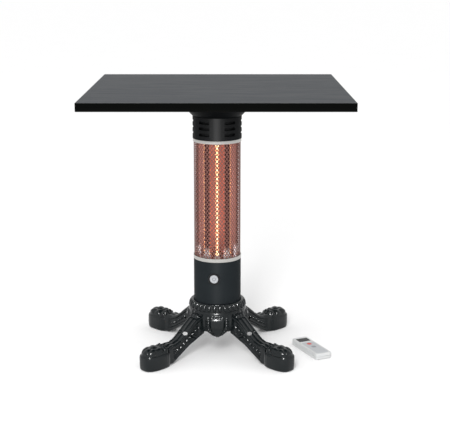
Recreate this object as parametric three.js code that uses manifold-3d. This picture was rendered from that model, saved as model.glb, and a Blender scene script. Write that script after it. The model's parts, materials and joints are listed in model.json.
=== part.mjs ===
// Outdoor table heater: a square table on an infrared heating column with a cast four-legged base,
// and its hand-held remote control lying beside the base.
// Millimetres, +Z up. The origin is on the floor, on the column's axis. The front is -Y.

import * as THREE from "three";
import { mergeVertices } from "three/addons/utils/BufferGeometryUtils.js";
import Module from "manifold-3d";

const wasm = await Module();
wasm.setup();

// ---------------------------------------------------------------- driving dimensions

const TABLE_HEIGHT = 760; // floor to the top of the board
const TABLE_SIDE = 700;
const BOARD_THICKNESS = 22;
const BAND_THICKNESS = 2;

const COLUMN_RADIUS = 68; // of the trim rings, which every other radius of the column follows
const SEAT_GAP = 0.3; // between two pieces that rest on or fit in each other
const SHEET = 1.5; // wall of the column's shells
const ROUND = 32; // facets around the column, a multiple of the leg count

const FLANGE_HEIGHT = 57; // bell between the head and the board
const FLANGE_BELL_RADIUS = 112; // the bell's mouth, under the rim
const FLANGE_RIM_RADIUS = 130;
const FLANGE_RIM_THICKNESS = 4;
const FLANGE_WALL = 3;

const SCREW_CIRCLE = 121; // radius on which the four board screws stand
const SCREW_RADIUS = 2.3;
const SCREW_HEAD_RADIUS = 5;
const SCREW_HEAD_HEIGHT = 3;
const SCREW_BITE = 13; // depth of thread in the board
const SCREW_COUNT = 4;

const HEAD_HEIGHT = 62;
const HEAD_STEP = 1; // the head stands out this far past the trim rings
const VENT_ROWS = 3;
const VENT_PITCH = 16.7;
const VENT_HEIGHT = 7;
const VENT_TOP_MARGIN = 17; // from the head's top down to the middle of the top row
const VENT_GROUPS = 6;
const VENT_SPAN_DEG = 36;
const BAFFLE_DROP = 8; // baffle below the head's top

const UPPER_RING_HEIGHT = 9.3;
const LOWER_RING_HEIGHT = 11;
const RING_WALL = 1.2;
const RING_LIP = 10; // width of the rings' inward lips
const PLATE_THICKNESS = 2;

const GUARD_WALL = 1;
const GUARD_COLUMNS = 12;
const GUARD_ROWS = 6;
const GUARD_STRAND = 5.5; // width of metal between two openings
const GUARD_SOLID_END = 16; // unpierced band at each end

const CORE_RADIUS = 11;
const CORE_WALL = 2.5;

const LAMP_COUNT = 6;
const LAMP_CIRCLE = 38; // radius on which the lamps stand
const LAMP_RADIUS = 5.5;
const LAMP_WALL = 1;
const LAMP_OVERHANG = 6; // how far a lamp's ends pass the plates
const FILAMENT_RADIUS = 1.6;
const FILAMENT_SUPPORT_LENGTH = 3;

const REFLECTOR_SHEET = 0.8;
const REFLECTOR_VERTEX = 24; // axis to the bottom of the trough
const RIDGE_CLEARANCE = 7; // guard to the flat ridge between two troughs
const RIDGE_HALF_WIDTH = 7;

const SHELL_STEP = 0.5; // the lower housing stands back this far from the trim rings
const SHELL_TOP = 272;

const HUB_SEAT = 112; // floor of the crown's cup, where the lower housing stands
const HUB_FLOOR = 8;
const CROWN_TOP = 150;
const CROWN_WALL = 7.5; // thickness of the crown's rim round the lower housing
const CROWN_MID_Z = 126;
const CROWN_MID_STEP = 7; // the crown's middle stands out this far past its rim
const CROWN_LOW_Z = 85;
const CROWN_LOW_STEP = 5.5; // and its foot this far past its middle
const HUB_RIM = 66; // underside of the hub's skirt
const HUB_SKIRT_STEP = 3.5; // the skirt draws in this far under the crown
const HUB_WALL = 14;
const TONGUE_TOP = 108;
const TONGUE_SHOULDER = 73;
const TONGUE_TIP = 57;
const TONGUE_TOP_WIDTH = 57;
const TONGUE_SHOULDER_WIDTH = 45;
const TONGUE_RELIEF = 3.5; // the tongues stand out this far past the crown

const LEG_COUNT = 4;
const LEG_WIDTH = 46;
const VOLUTE_REACH = 97; // how far out the scroll at the top of a leg reaches
const VOLUTE_TOP = 122;
const FOOT_INNER = 198;
const FOOT_OUTER = 289;
const FOOT_WIDTH = 60;
const FOOT_BAND = 42; // height of the plinth's smooth side
const PAW_HEIGHT = 64;
const FOOT_LIFT = 1.5; // plinth's underside above the floor
const GLIDE_RADIUS = 15;
const GLIDE_HEIGHT = 4;
const GLIDE_CIRCLE = 246;

const NUT_RADIUS = 17;
const NUT_HEIGHT = 9;

const BUTTON_HEIGHT = 224;
const BUTTON_AZIMUTH_DEG = -7.8;
const BUTTON_RADIUS = 12;
const BUTTON_TRAVEL = 1.5;
const BEZEL_RADIUS = 17;

const GLAND_HEIGHT = 178;
const GLAND_BORE_RADIUS = 4.5;
const GLAND_BARREL_RADIUS = 8;
const GLAND_FLANGE_RADIUS = 12;
const GLAND_LENGTH = 12; // how far the gland stands out of the wall

const BRACKET_Y = 22;
const BRACKET_WIDTH = 64;
const BRACKET_HEIGHT = 118;
const POST_LENGTH = 6;
const POST_SIDE = 5;
const CONTROL_BOARD = { width: 56, height: 84, thickness: 1.6, middle: 70 };
const RELAY = { width: 20, depth: 15, height: 28, x: 12, drop: 22 };

const TIP_BOX = { width: 24, depth: 18, height: 36, wall: 2, y: -8 };
const TIP_BOX_CLEARANCE = 14; // lower housing's wall to the tip-over switch
const TIP_PIN_RADIUS = 1.5;
const TIP_PIN_DROP = 7; // box top to the pin
const TIP_WEIGHT_DROP = 18; // pin to the middle of the weight
const TIP_WEIGHT_RADIUS = 4;

const REMOTE_LENGTH = 150;
const REMOTE_WIDTH = 50.5;
const REMOTE_THICKNESS = 18;
const REMOTE_CORNER = 9;
const REMOTE_X = 272;
const REMOTE_Y = -40;
const REMOTE_TURN_DEG = 25;

// ---------------------------------------------------------------- heights worked out from them

const boardBottom = TABLE_HEIGHT - BOARD_THICKNESS;
const headTop = boardBottom - FLANGE_HEIGHT;
const headBottom = headTop - HEAD_HEIGHT;
const guardShownTop = headBottom - UPPER_RING_HEIGHT;
const guardShownBottom = SHELL_TOP + LOWER_RING_HEIGHT;
const lowerRingBottom = SHELL_TOP + SEAT_GAP;
const lowerPlateBottom = lowerRingBottom + RING_WALL + SEAT_GAP;
const lowerPlateTop = lowerPlateBottom + PLATE_THICKNESS;
const upperRingTop = headBottom - SEAT_GAP;
const upperPlateTop = upperRingTop - RING_WALL - SEAT_GAP;
const upperPlateBottom = upperPlateTop - PLATE_THICKNESS;
const cageBottom = lowerPlateTop + SEAT_GAP;
const cageTop = upperPlateBottom - SEAT_GAP;
const headRadius = COLUMN_RADIUS + HEAD_STEP;
const shellRadius = COLUMN_RADIUS - SHELL_STEP;
const crownTopRadius = shellRadius + CROWN_WALL;
const crownMidRadius = crownTopRadius + CROWN_MID_STEP;
const crownLowRadius = crownMidRadius + CROWN_LOW_STEP;
const hubSkirtRadius = crownLowRadius - HUB_SKIRT_STEP;
const hubHollowRadius = hubSkirtRadius - HUB_WALL;
const tongueFaceRadius = crownLowRadius + TONGUE_RELIEF;
const plateRadius = COLUMN_RADIUS - RING_WALL - SEAT_GAP;
const guardRadius = plateRadius * Math.cos(Math.PI / ROUND); // clears the flats of the rings' facets
const ridgeRadius = plateRadius - GUARD_WALL - RIDGE_CLEARANCE;
const hubFloorBottom = HUB_SEAT - HUB_FLOOR;

// ---------------------------------------------------------------- materials

function paint(color, roughness, metalness) {
  return new THREE.MeshStandardMaterial({ color, roughness, metalness });
}

const laminate = paint(0x23272b, 0.45, 0);
const bandBlack = paint(0x0a0d0e, 0.3, 0);
const blackSteel = paint(0x2a2d31, 0.4, 0.4);
const zincSteel = paint(0xa9abad, 0.4, 0.9);
const brushedRing = paint(0xc6c6c2, 0.25, 0.9);
const chromeSheet = paint(0xd8c6bb, 0.12, 1);
const guardSteel = paint(0xb98b7a, 0.35, 0.8);
const quartz = paint(0xf3ddcf, 0.05, 0);
const glowing = paint(0xffc98f, 0.6, 0);
const castIron = paint(0x222628, 0.5, 0.5);
const nylon = paint(0x111111, 0.7, 0);
const blackPlastic = paint(0x131517, 0.45, 0);
const silverPlastic = paint(0xc9cbcd, 0.3, 0.6);
const boardGreen = paint(0x1f5a3a, 0.6, 0);
const relayBlue = paint(0x2b4f86, 0.5, 0);
const whitePlastic = paint(0xf1f2f1, 0.4, 0);
const greyRubber = paint(0xd9dcdb, 0.6, 0);
const redRubber = paint(0xb8483c, 0.6, 0);

// ---------------------------------------------------------------- geometry helpers

/** A closed three.js geometry as a solid, its faces turned outwards. */
function solidOf(source) {
  const bare = (source.index ? source.toNonIndexed() : source).clone();
  bare.deleteAttribute("normal");
  bare.deleteAttribute("uv");
  const merged = mergeVertices(bare, 1e-4);
  const place = merged.getAttribute("position").array;
  const corners = merged.index.array;
  const kept = [];
  let volume = 0;
  for (let i = 0; i < corners.length; i += 3) {
    const [a, b, c] = [corners[i], corners[i + 1], corners[i + 2]];
    if (a === b || b === c || a === c) continue;
    kept.push(a, b, c);
    const va = new THREE.Vector3().fromArray(place, 3 * a);
    const vb = new THREE.Vector3().fromArray(place, 3 * b);
    const vc = new THREE.Vector3().fromArray(place, 3 * c);
    volume += va.dot(vb.cross(vc));
  }
  if (volume < 0) kept.reverse();
  const mesh = new wasm.Mesh({
    numProp: 3,
    vertProperties: new Float32Array(place),
    triVerts: new Uint32Array(kept),
  });
  return new wasm.Manifold(mesh);
}

/** A solid back as a three.js geometry. */
function geometryOf(solid) {
  const mesh = solid.getMesh();
  const geometry = new THREE.BufferGeometry();
  geometry.setAttribute("position", new THREE.BufferAttribute(mesh.vertProperties.slice(), 3));
  geometry.setIndex(new THREE.BufferAttribute(mesh.triVerts.slice(), 1));
  geometry.computeVertexNormals();
  return geometry;
}

/** Solid of revolution about +Z. The profile is a list of [radius, height] and is closed here. */
function turned(profile, segments) {
  const points = profile.map(([r, z]) => new THREE.Vector2(r, z));
  points.push(points[0].clone());
  return solidOf(new THREE.LatheGeometry(points, segments).rotateX(Math.PI / 2));
}

/** Ring between two radii and two heights. */
function ring(inner, outer, bottom, top, segments) {
  return turned([[inner, bottom], [outer, bottom], [outer, top], [inner, top]], segments);
}

/** Upright round bar. */
function bar(radius, bottom, top, segments) {
  const geometry = new THREE.CylinderGeometry(radius, radius, top - bottom, segments);
  return solidOf(geometry.rotateX(Math.PI / 2).translate(0, 0, (bottom + top) / 2));
}

/** Box from its middle and its sizes along X, Y and Z. */
function block(x, y, z, sizeX, sizeY, sizeZ) {
  return solidOf(new THREE.BoxGeometry(sizeX, sizeY, sizeZ).translate(x, y, z));
}

/** Upright prism of an outline in X and Y. */
function prism(shape, bottom, top, curveSegments = 4) {
  const settings = { depth: top - bottom, bevelEnabled: false, curveSegments };
  return solidOf(new THREE.ExtrudeGeometry(shape, settings).translate(0, 0, bottom));
}

/** Prism of an outline in X and Z, its thickness centred on Y = 0. */
function sidePrism(shape, thickness, curveSegments = 4) {
  const settings = { depth: thickness, bevelEnabled: false, curveSegments };
  const geometry = new THREE.ExtrudeGeometry(shape, settings).translate(0, 0, -thickness / 2);
  return solidOf(geometry.rotateX(Math.PI / 2));
}

/** Rectangle with round corners, centred on the origin. */
function roundedRectangle(width, height, radius) {
  const [x, y] = [width / 2, height / 2];
  const shape = new THREE.Shape();
  shape.moveTo(-x + radius, -y);
  shape.lineTo(x - radius, -y);
  shape.absarc(x - radius, -y + radius, radius, -Math.PI / 2, 0);
  shape.lineTo(x, y - radius);
  shape.absarc(x - radius, y - radius, radius, 0, Math.PI / 2);
  shape.lineTo(-x + radius, y);
  shape.absarc(-x + radius, y - radius, radius, Math.PI / 2, Math.PI);
  shape.lineTo(-x, -y + radius);
  shape.absarc(-x + radius, -y + radius, radius, Math.PI, 1.5 * Math.PI);
  return shape;
}

/** The same solid after a turn about Z, in degrees. */
function spun(solid, degrees) {
  return solid.rotate([0, 0, degrees]);
}

const heater = new THREE.Group();
heater.name = "outdoor_table_heater";

/** Adds one named piece to a group. */
function add(name, solid, material, parent = heater) {
  const mesh = new THREE.Mesh(geometryOf(solid), material);
  mesh.name = name;
  parent.add(mesh);
  return mesh;
}

// ---------------------------------------------------------------- table

function buildTable() {
  const table = new THREE.Group();
  heater.add(table);
  const inner = TABLE_SIDE - 2 * BAND_THICKNESS;
  const middle = boardBottom + BOARD_THICKNESS / 2;
  let band = block(0, 0, middle, TABLE_SIDE, TABLE_SIDE, BOARD_THICKNESS);
  band = band.subtract(block(0, 0, middle, inner, inner, BOARD_THICKNESS + 2));
  add("table_edge_band", band, bandBlack, table);

  const rimBottom = boardBottom - SEAT_GAP - FLANGE_RIM_THICKNESS;
  const headLow = rimBottom - SEAT_GAP - SCREW_HEAD_HEIGHT;
  const screwTop = boardBottom + SCREW_BITE;
  const hole = bar(SCREW_RADIUS + SEAT_GAP, rimBottom - 2, screwTop + SEAT_GAP, 10);
  const boardSide = inner - 2 * SEAT_GAP;
  let board = block(0, 0, middle, boardSide, boardSide, BOARD_THICKNESS);

  // Bell-shaped flange: a wide rim under the board, a curved bell and a neck on the head.
  const neck = headRadius - SHEET;
  const bellBottom = headTop + SEAT_GAP;
  const bellRise = rimBottom - bellBottom;
  const outer = [];
  const inside = [];
  const bellSteps = 5;
  for (let i = 0; i <= bellSteps; i += 1) {
    const t = i / bellSteps;
    const radius = neck + (FLANGE_BELL_RADIUS - neck) * t ** 0.85;
    outer.push([radius, bellBottom + bellRise * t]);
    inside.push([radius - FLANGE_WALL, bellBottom + (bellRise - FLANGE_WALL) * t]);
  }
  const bore = CORE_RADIUS + SEAT_GAP;
  const rimTop = boardBottom - SEAT_GAP;
  const profile = [...outer, [FLANGE_RIM_RADIUS, rimBottom], [FLANGE_RIM_RADIUS, rimTop], [bore, rimTop]];
  profile.push([bore, inside[bellSteps][1]], ...inside.reverse());
  let flange = turned(profile, ROUND);

  for (let i = 0; i < SCREW_COUNT; i += 1) {
    const turn = 45 + (360 / SCREW_COUNT) * i;
    const cut = spun(hole.translate([SCREW_CIRCLE, 0, 0]), turn);
    flange = flange.subtract(cut);
    board = board.subtract(cut);
    const headHigh = headLow + SCREW_HEAD_HEIGHT;
    const shank = [[0, headLow], [SCREW_HEAD_RADIUS, headLow + 1], [SCREW_HEAD_RADIUS, headHigh]];
    shank.push([SCREW_RADIUS, headHigh], [SCREW_RADIUS, screwTop - 4], [0, screwTop]);
    const screw = spun(turned(shank, 10).translate([SCREW_CIRCLE, 0, 0]), turn);
    add(`table_screw_${i + 1}`, screw, zincSteel, table);
  }
  add("table_board", board, laminate, table);
  add("table_flange", flange, blackSteel, table);
}

// ---------------------------------------------------------------- head

/** One vent opening: a wedge of the wall between two angles and two heights. */
function ventCutter(middle) {
  const half = THREE.MathUtils.degToRad(VENT_SPAN_DEG / 2);
  const reach = headRadius + 6;
  const shape = new THREE.Shape();
  shape.moveTo(reach * 0.75 * Math.cos(half), -reach * 0.75 * Math.sin(half));
  shape.lineTo(reach * Math.cos(half), -reach * Math.sin(half));
  shape.lineTo(reach * 1.02, 0);
  shape.lineTo(reach * Math.cos(half), reach * Math.sin(half));
  shape.lineTo(reach * 0.75 * Math.cos(half), reach * 0.75 * Math.sin(half));
  return prism(shape, middle - VENT_HEIGHT / 2, middle + VENT_HEIGHT / 2);
}

function buildHead() {
  const inner = headRadius - SHEET;
  const lip = COLUMN_RADIUS - RING_LIP;
  const profile = [[lip, headBottom], [headRadius - 2, headBottom], [headRadius, headBottom + 2]];
  profile.push([headRadius, headTop], [inner - 5, headTop], [inner - 5, headTop - SHEET]);
  profile.push([inner, headTop - SHEET], [inner, headBottom + SHEET], [lip, headBottom + SHEET]);
  let shell = turned(profile, ROUND);
  for (let row = 0; row < VENT_ROWS; row += 1) {
    const cutter = ventCutter(headTop - VENT_TOP_MARGIN - row * VENT_PITCH + VENT_HEIGHT / 2);
    for (let i = 0; i < VENT_GROUPS; i += 1) {
      const turn = -90 + (i + 0.5) * (360 / VENT_GROUPS);
      shell = shell.subtract(spun(cutter, turn));
    }
  }
  add("head_shell", shell, blackSteel);

  const baffleTop = headTop - BAFFLE_DROP;
  const baffle = ring(CORE_RADIUS + SEAT_GAP, inner - SEAT_GAP, baffleTop - SHEET, baffleTop, ROUND);
  add("heat_baffle", baffle, zincSteel);

  const wall = COLUMN_RADIUS - RING_WALL;
  const roof = upperRingTop - RING_WALL;
  const trim = [[lip, roof], [wall, roof], [wall, guardShownTop], [COLUMN_RADIUS - 0.5, guardShownTop]];
  trim.push([COLUMN_RADIUS, guardShownTop + 0.5], [COLUMN_RADIUS, upperRingTop], [lip, upperRingTop]);
  add("upper_trim_ring", turned(trim, ROUND), brushedRing);
}

// ---------------------------------------------------------------- heating section

/** Disc with a bore for the core tube and one for each lamp. */
function lampPlate(bottom, top) {
  let plate = ring(CORE_RADIUS + SEAT_GAP, plateRadius, bottom, top, ROUND);
  const hole = bar(LAMP_RADIUS + SEAT_GAP, bottom - 1, top + 1, 12).translate([0, -LAMP_CIRCLE, 0]);
  for (let i = 0; i < LAMP_COUNT; i += 1) plate = plate.subtract(spun(hole, (360 / LAMP_COUNT) * i));
  return plate;
}

/** Trough of polished sheet that faces -Y, with half of the flat ridge on each side of it. */
function reflectorTrough() {
  const ridge = Math.PI / LAMP_COUNT;
  const along = new THREE.Vector2(Math.sin(ridge), -Math.cos(ridge));
  const across = new THREE.Vector2(-Math.cos(ridge), -Math.sin(ridge));
  const edge = along.clone().multiplyScalar(ridgeRadius).addScaledVector(across, RIDGE_HALF_WIDTH);
  const seam = along.clone().multiplyScalar(ridgeRadius).addScaledVector(across, SEAT_GAP);
  const front = [];
  const steps = 8;
  front.push(new THREE.Vector2(-seam.x, seam.y));
  for (let i = 0; i <= steps; i += 1) {
    const s = (2 * i) / steps - 1;
    front.push(new THREE.Vector2(edge.x * s, -REFLECTOR_VERTEX + (edge.y + REFLECTOR_VERTEX) * s * s));
  }
  front.push(seam);
  const back = front.map((point, i) => {
    const before = front[Math.max(i - 1, 0)];
    const after = front[Math.min(i + 1, front.length - 1)];
    const step = after.clone().sub(before).normalize();
    const inward = new THREE.Vector2(-step.y, step.x).multiplyScalar(REFLECTOR_SHEET);
    return point.clone().add(inward);
  });
  const shape = new THREE.Shape([...front, ...back.reverse()]);
  return prism(shape, cageBottom, cageTop);
}

/** Tube of coarse diamond openings, which stands for the fine expanded mesh of the real guard. */
function guardTube() {
  const inner = guardRadius - GUARD_WALL;
  const bottom = cageBottom;
  const top = cageTop;
  const pitch = (2 * Math.PI * guardRadius) / GUARD_COLUMNS;
  const rise = (top - bottom - 2 * GUARD_SOLID_END) / GUARD_ROWS;
  const [halfWidth, halfHeight] = [pitch / 2 - GUARD_STRAND / 2, rise / 2 - GUARD_STRAND / 2];
  const shape = new THREE.Shape();
  shape.moveTo(-halfWidth, 0);
  shape.lineTo(0, -halfHeight);
  shape.lineTo(halfWidth, 0);
  shape.lineTo(0, halfHeight);
  const cutter = sidePrism(shape, 20).translate([0, -guardRadius, 0]);
  let tube = ring(inner, guardRadius, bottom, top, 2 * GUARD_COLUMNS);
  for (let row = 0; row < GUARD_ROWS; row += 1) {
    const middle = bottom + GUARD_SOLID_END + (row + 0.5) * rise;
    for (let column = 0; column < GUARD_COLUMNS; column += 1) {
      const turn = (360 / GUARD_COLUMNS) * (column + 0.5 * (row % 2));
      tube = tube.subtract(spun(cutter.translate([0, 0, middle]), turn));
    }
  }
  return tube;
}

function buildHeatingSection() {
  const section = new THREE.Group();
  heater.add(section);
  add("lower_lamp_plate", lampPlate(lowerPlateBottom, lowerPlateTop), zincSteel, section);
  add("upper_lamp_plate", lampPlate(upperPlateBottom, upperPlateTop), zincSteel, section);

  const lampBottom = lowerPlateBottom - LAMP_OVERHANG;
  const lampTop = upperPlateTop + LAMP_OVERHANG;
  const bore = LAMP_RADIUS - LAMP_WALL;
  const support = bore - SEAT_GAP;
  const wireBottom = cageBottom + 12;
  const wireTop = cageTop - 12;
  const wire = [[0, wireBottom], [support, wireBottom], [support, wireBottom + FILAMENT_SUPPORT_LENGTH]];
  wire.push([FILAMENT_RADIUS, wireBottom + FILAMENT_SUPPORT_LENGTH]);
  wire.push([FILAMENT_RADIUS, wireTop - FILAMENT_SUPPORT_LENGTH]);
  wire.push([support, wireTop - FILAMENT_SUPPORT_LENGTH]);
  wire.push([support, wireTop], [0, wireTop]);
  const trough = reflectorTrough();
  const tube = ring(bore, LAMP_RADIUS, lampBottom, lampTop, 12).translate([0, -LAMP_CIRCLE, 0]);
  const filament = turned(wire, 6).translate([0, -LAMP_CIRCLE, 0]);
  for (let i = 0; i < LAMP_COUNT; i += 1) {
    const turn = (360 / LAMP_COUNT) * i;
    add(`reflector_${i + 1}`, spun(trough, turn), chromeSheet, section);
    add(`quartz_tube_${i + 1}`, spun(tube, turn), quartz, section);
    add(`filament_${i + 1}`, spun(filament, turn), glowing, section);
  }
  add("guard_mesh", guardTube(), guardSteel, section);

  // The core tube carries the table: it stands in the hub and ends in the flange.
  const coreBottom = hubFloorBottom - NUT_HEIGHT - SEAT_GAP - 4;
  const coreTop = boardBottom - 1;
  add("core_tube", ring(CORE_RADIUS - CORE_WALL, CORE_RADIUS, coreBottom, coreTop, 20), zincSteel, section);
}

// ---------------------------------------------------------------- lower housing

/** A solid turned about +Z, laid along the outward direction at an azimuth from the front. */
function radial(solid, azimuthDeg, height) {
  return spun(solid.rotate([90, 0, 0]).translate([0, 0, height]), azimuthDeg);
}

function buildLowerHousing() {
  const wall = COLUMN_RADIUS - RING_WALL;
  const lip = COLUMN_RADIUS - RING_LIP;
  const floor = lowerRingBottom + RING_WALL;
  const trim = [[lip, lowerRingBottom], [COLUMN_RADIUS, lowerRingBottom]];
  trim.push([COLUMN_RADIUS, guardShownBottom - 0.5], [COLUMN_RADIUS - 0.5, guardShownBottom]);
  trim.push([wall, guardShownBottom], [wall, floor], [lip, floor]);
  add("lower_trim_ring", turned(trim, ROUND), brushedRing);

  const inner = shellRadius - SHEET;
  let shell = ring(inner, shellRadius, HUB_SEAT + SEAT_GAP, SHELL_TOP, ROUND);
  const buttonHole = bar(BEZEL_RADIUS + SEAT_GAP, inner - 15, shellRadius + 10, 20);
  shell = shell.subtract(radial(buttonHole, BUTTON_AZIMUTH_DEG, BUTTON_HEIGHT));

  // Cable gland: a barrel through the back wall, with a flange and a nut outside it.
  const glandFlange = shellRadius + SEAT_GAP;
  const glandEnd = glandFlange + GLAND_LENGTH;
  const glandHole = bar(GLAND_BARREL_RADIUS + SEAT_GAP, inner - 10, shellRadius + 10, 16);
  shell = shell.subtract(radial(glandHole, 180, GLAND_HEIGHT));
  add("lower_shell", shell, blackSteel);
  const gland = [[GLAND_BORE_RADIUS, inner - 7], [GLAND_BARREL_RADIUS, inner - 7]];
  gland.push([GLAND_BARREL_RADIUS, glandFlange], [GLAND_FLANGE_RADIUS, glandFlange]);
  gland.push([GLAND_FLANGE_RADIUS, glandFlange + 5], [GLAND_FLANGE_RADIUS - 2.5, glandFlange + 6]);
  gland.push([GLAND_BORE_RADIUS + 3, glandEnd], [GLAND_BORE_RADIUS, glandEnd]);
  add("cable_gland", radial(turned(gland, 16), 180, GLAND_HEIGHT), blackPlastic);

  buildButton();
  buildElectronics();
}

/** Power button in its bezel, with the switch behind it. Distances run outwards from the axis. */
function buildButton() {
  const face = shellRadius + 1;
  const cupFloor = shellRadius - 12;
  const floorThickness = 2;
  const stem = 3;
  const bore = BUTTON_RADIUS + SEAT_GAP;
  const cup = [[stem + SEAT_GAP, cupFloor - floorThickness], [BEZEL_RADIUS, cupFloor - floorThickness]];
  cup.push([BEZEL_RADIUS, face - 1.2], [BEZEL_RADIUS - 1.2, face], [bore + 0.8, face], [bore, face - 1.6]);
  cup.push([bore, cupFloor], [stem + SEAT_GAP, cupFloor]);
  add("button_bezel", radial(turned(cup, 20), BUTTON_AZIMUTH_DEG, BUTTON_HEIGHT), blackPlastic);

  const buttonFace = face - 0.8;
  const buttonBack = buttonFace - 5;
  const stemEnd = cupFloor - floorThickness - SEAT_GAP + BUTTON_TRAVEL;
  const cap = [[0, stemEnd], [stem, stemEnd], [stem, buttonBack], [BUTTON_RADIUS, buttonBack]];
  cap.push([BUTTON_RADIUS, buttonFace - 0.8], [BUTTON_RADIUS - 1, buttonFace], [0, buttonFace]);
  add("power_button", radial(turned(cap, 20), BUTTON_AZIMUTH_DEG, BUTTON_HEIGHT), silverPlastic);

  const switchTop = cupFloor - floorThickness - SEAT_GAP;
  const switchBody = block(0, 0, switchTop - 6, 15, 15, 12);
  add("push_switch", radial(switchBody, BUTTON_AZIMUTH_DEG, BUTTON_HEIGHT), blackPlastic);
}

/** Bracket with the control board and relay behind the core tube, and the tip-over switch beside it. */
function buildElectronics() {
  const floor = HUB_SEAT + SEAT_GAP;
  const sheet = PLATE_THICKNESS;
  const { width, height, thickness } = CONTROL_BOARD;
  const boardMiddle = floor + CONTROL_BOARD.middle;
  let bracket = block(0, BRACKET_Y, floor + BRACKET_HEIGHT / 2, BRACKET_WIDTH, sheet, BRACKET_HEIGHT);
  bracket = bracket.add(block(0, BRACKET_Y + 9, floor + sheet / 2, BRACKET_WIDTH, 20, sheet));
  const faceY = BRACKET_Y + sheet / 2;
  for (const x of [-1, 1]) {
    for (const z of [-1, 1]) {
      const place = [x * (width / 2 - POST_SIDE), faceY + POST_LENGTH / 2 - 0.25];
      place.push(boardMiddle + z * (height / 2 - POST_SIDE));
      bracket = bracket.add(block(...place, POST_SIDE, POST_LENGTH + 0.5, POST_SIDE));
    }
  }
  add("electronics_bracket", bracket, zincSteel);
  const boardY = faceY + POST_LENGTH + SEAT_GAP;
  add("control_board", block(0, boardY + thickness / 2, boardMiddle, width, thickness, height), boardGreen);
  const relayY = boardY + thickness + SEAT_GAP + RELAY.depth / 2;
  const relay = block(RELAY.x, relayY, boardMiddle - RELAY.drop, RELAY.width, RELAY.depth, RELAY.height);
  add("power_relay", relay, relayBlue);

  // Tip-over switch: a pendulum hangs on a pin between the two cheeks of an open box.
  const boxX = -(shellRadius - SHEET - TIP_BOX_CLEARANCE - TIP_BOX.width / 2);
  const box = { x: boxX, ...TIP_BOX };
  const middle = floor + box.height / 2;
  const pinZ = floor + box.height - TIP_PIN_DROP;
  let body = block(box.x, box.y, middle, box.width, box.depth, box.height);
  const room = [box.width - 2 * box.wall, box.depth - 2 * box.wall, box.height];
  body = body.subtract(block(box.x, box.y, middle + box.wall, ...room));
  const pinRadius = TIP_PIN_RADIUS;
  const pinLength = box.depth - 0.6;
  const pinHole = bar(pinRadius + SEAT_GAP, -box.depth, box.depth, 12).rotate([90, 0, 0]);
  body = body.subtract(pinHole.translate([box.x, box.y, pinZ]));
  add("tip_switch_body", body, blackPlastic);
  const weightLow = -TIP_WEIGHT_DROP - TIP_WEIGHT_RADIUS;
  const weightHigh = -TIP_WEIGHT_DROP + TIP_WEIGHT_RADIUS;
  const weight = [[0, weightLow], [TIP_WEIGHT_RADIUS, weightLow], [TIP_WEIGHT_RADIUS, weightHigh]];
  weight.push([pinRadius, weightHigh + 1], [pinRadius - 0.3, 0], [0, 0]);
  let pendulum = turned(weight, 12);
  pendulum = pendulum.add(bar(pinRadius, -pinLength / 2, pinLength / 2, 12).rotate([90, 0, 0]));
  add("tip_switch_pendulum", pendulum.translate([box.x, box.y, pinZ]), zincSteel);
}

// ---------------------------------------------------------------- base

/** Outside of the hub, grown by a margin, as a solid without its hollows. */
function hubEnvelope(margin) {
  const low = HUB_RIM - 30 * Math.sign(margin);
  const skirt = [[0, low], [hubSkirtRadius + margin, low], [hubSkirtRadius + margin, HUB_RIM]];
  skirt.push([crownLowRadius + margin, CROWN_LOW_Z], [crownLowRadius - 2 + margin, TONGUE_TOP]);
  skirt.push([crownMidRadius + margin, CROWN_MID_Z], [crownTopRadius + margin, CROWN_TOP]);
  const high = margin > 0 ? CROWN_TOP + 20 : CROWN_TOP;
  return turned([...skirt, [crownTopRadius + margin, high], [0, high]], ROUND);
}

function buildHub() {
  let hub = hubEnvelope(0);
  const tongue = new THREE.Shape();
  tongue.moveTo(-TONGUE_TOP_WIDTH / 2, TONGUE_TOP);
  tongue.lineTo(-TONGUE_SHOULDER_WIDTH / 2, TONGUE_SHOULDER);
  const cheek = TONGUE_SHOULDER_WIDTH / 3;
  tongue.quadraticCurveTo(-cheek, TONGUE_TIP + 3, 0, TONGUE_TIP);
  tongue.quadraticCurveTo(cheek, TONGUE_TIP + 3, TONGUE_SHOULDER_WIDTH / 2, TONGUE_SHOULDER);
  tongue.lineTo(TONGUE_TOP_WIDTH / 2, TONGUE_TOP);
  const depth = tongueFaceRadius - hubHollowRadius;
  const leaf = sidePrism(tongue, depth, 4).translate([0, -(tongueFaceRadius + hubHollowRadius) / 2, 0]);
  for (let i = 0; i < LEG_COUNT; i += 1) hub = hub.add(spun(leaf, (360 / LEG_COUNT) * i));
  hub = hub.subtract(bar(hubHollowRadius, TONGUE_TIP - 5, hubFloorBottom, 24));
  hub = hub.subtract(bar(shellRadius + SEAT_GAP, HUB_SEAT, CROWN_TOP + 5, ROUND));
  hub = hub.subtract(bar(CORE_RADIUS + SEAT_GAP, HUB_RIM, HUB_SEAT + 5, 20));
  add("base_hub", hub, castIron);

  const nutTop = hubFloorBottom - SEAT_GAP;
  const nut = bar(NUT_RADIUS, nutTop - NUT_HEIGHT, nutTop, 6);
  const thread = bar(CORE_RADIUS + SEAT_GAP, nutTop - NUT_HEIGHT - 1, nutTop + 1, 20);
  add("tie_nut", nut.subtract(thread), zincSteel);
}

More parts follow.
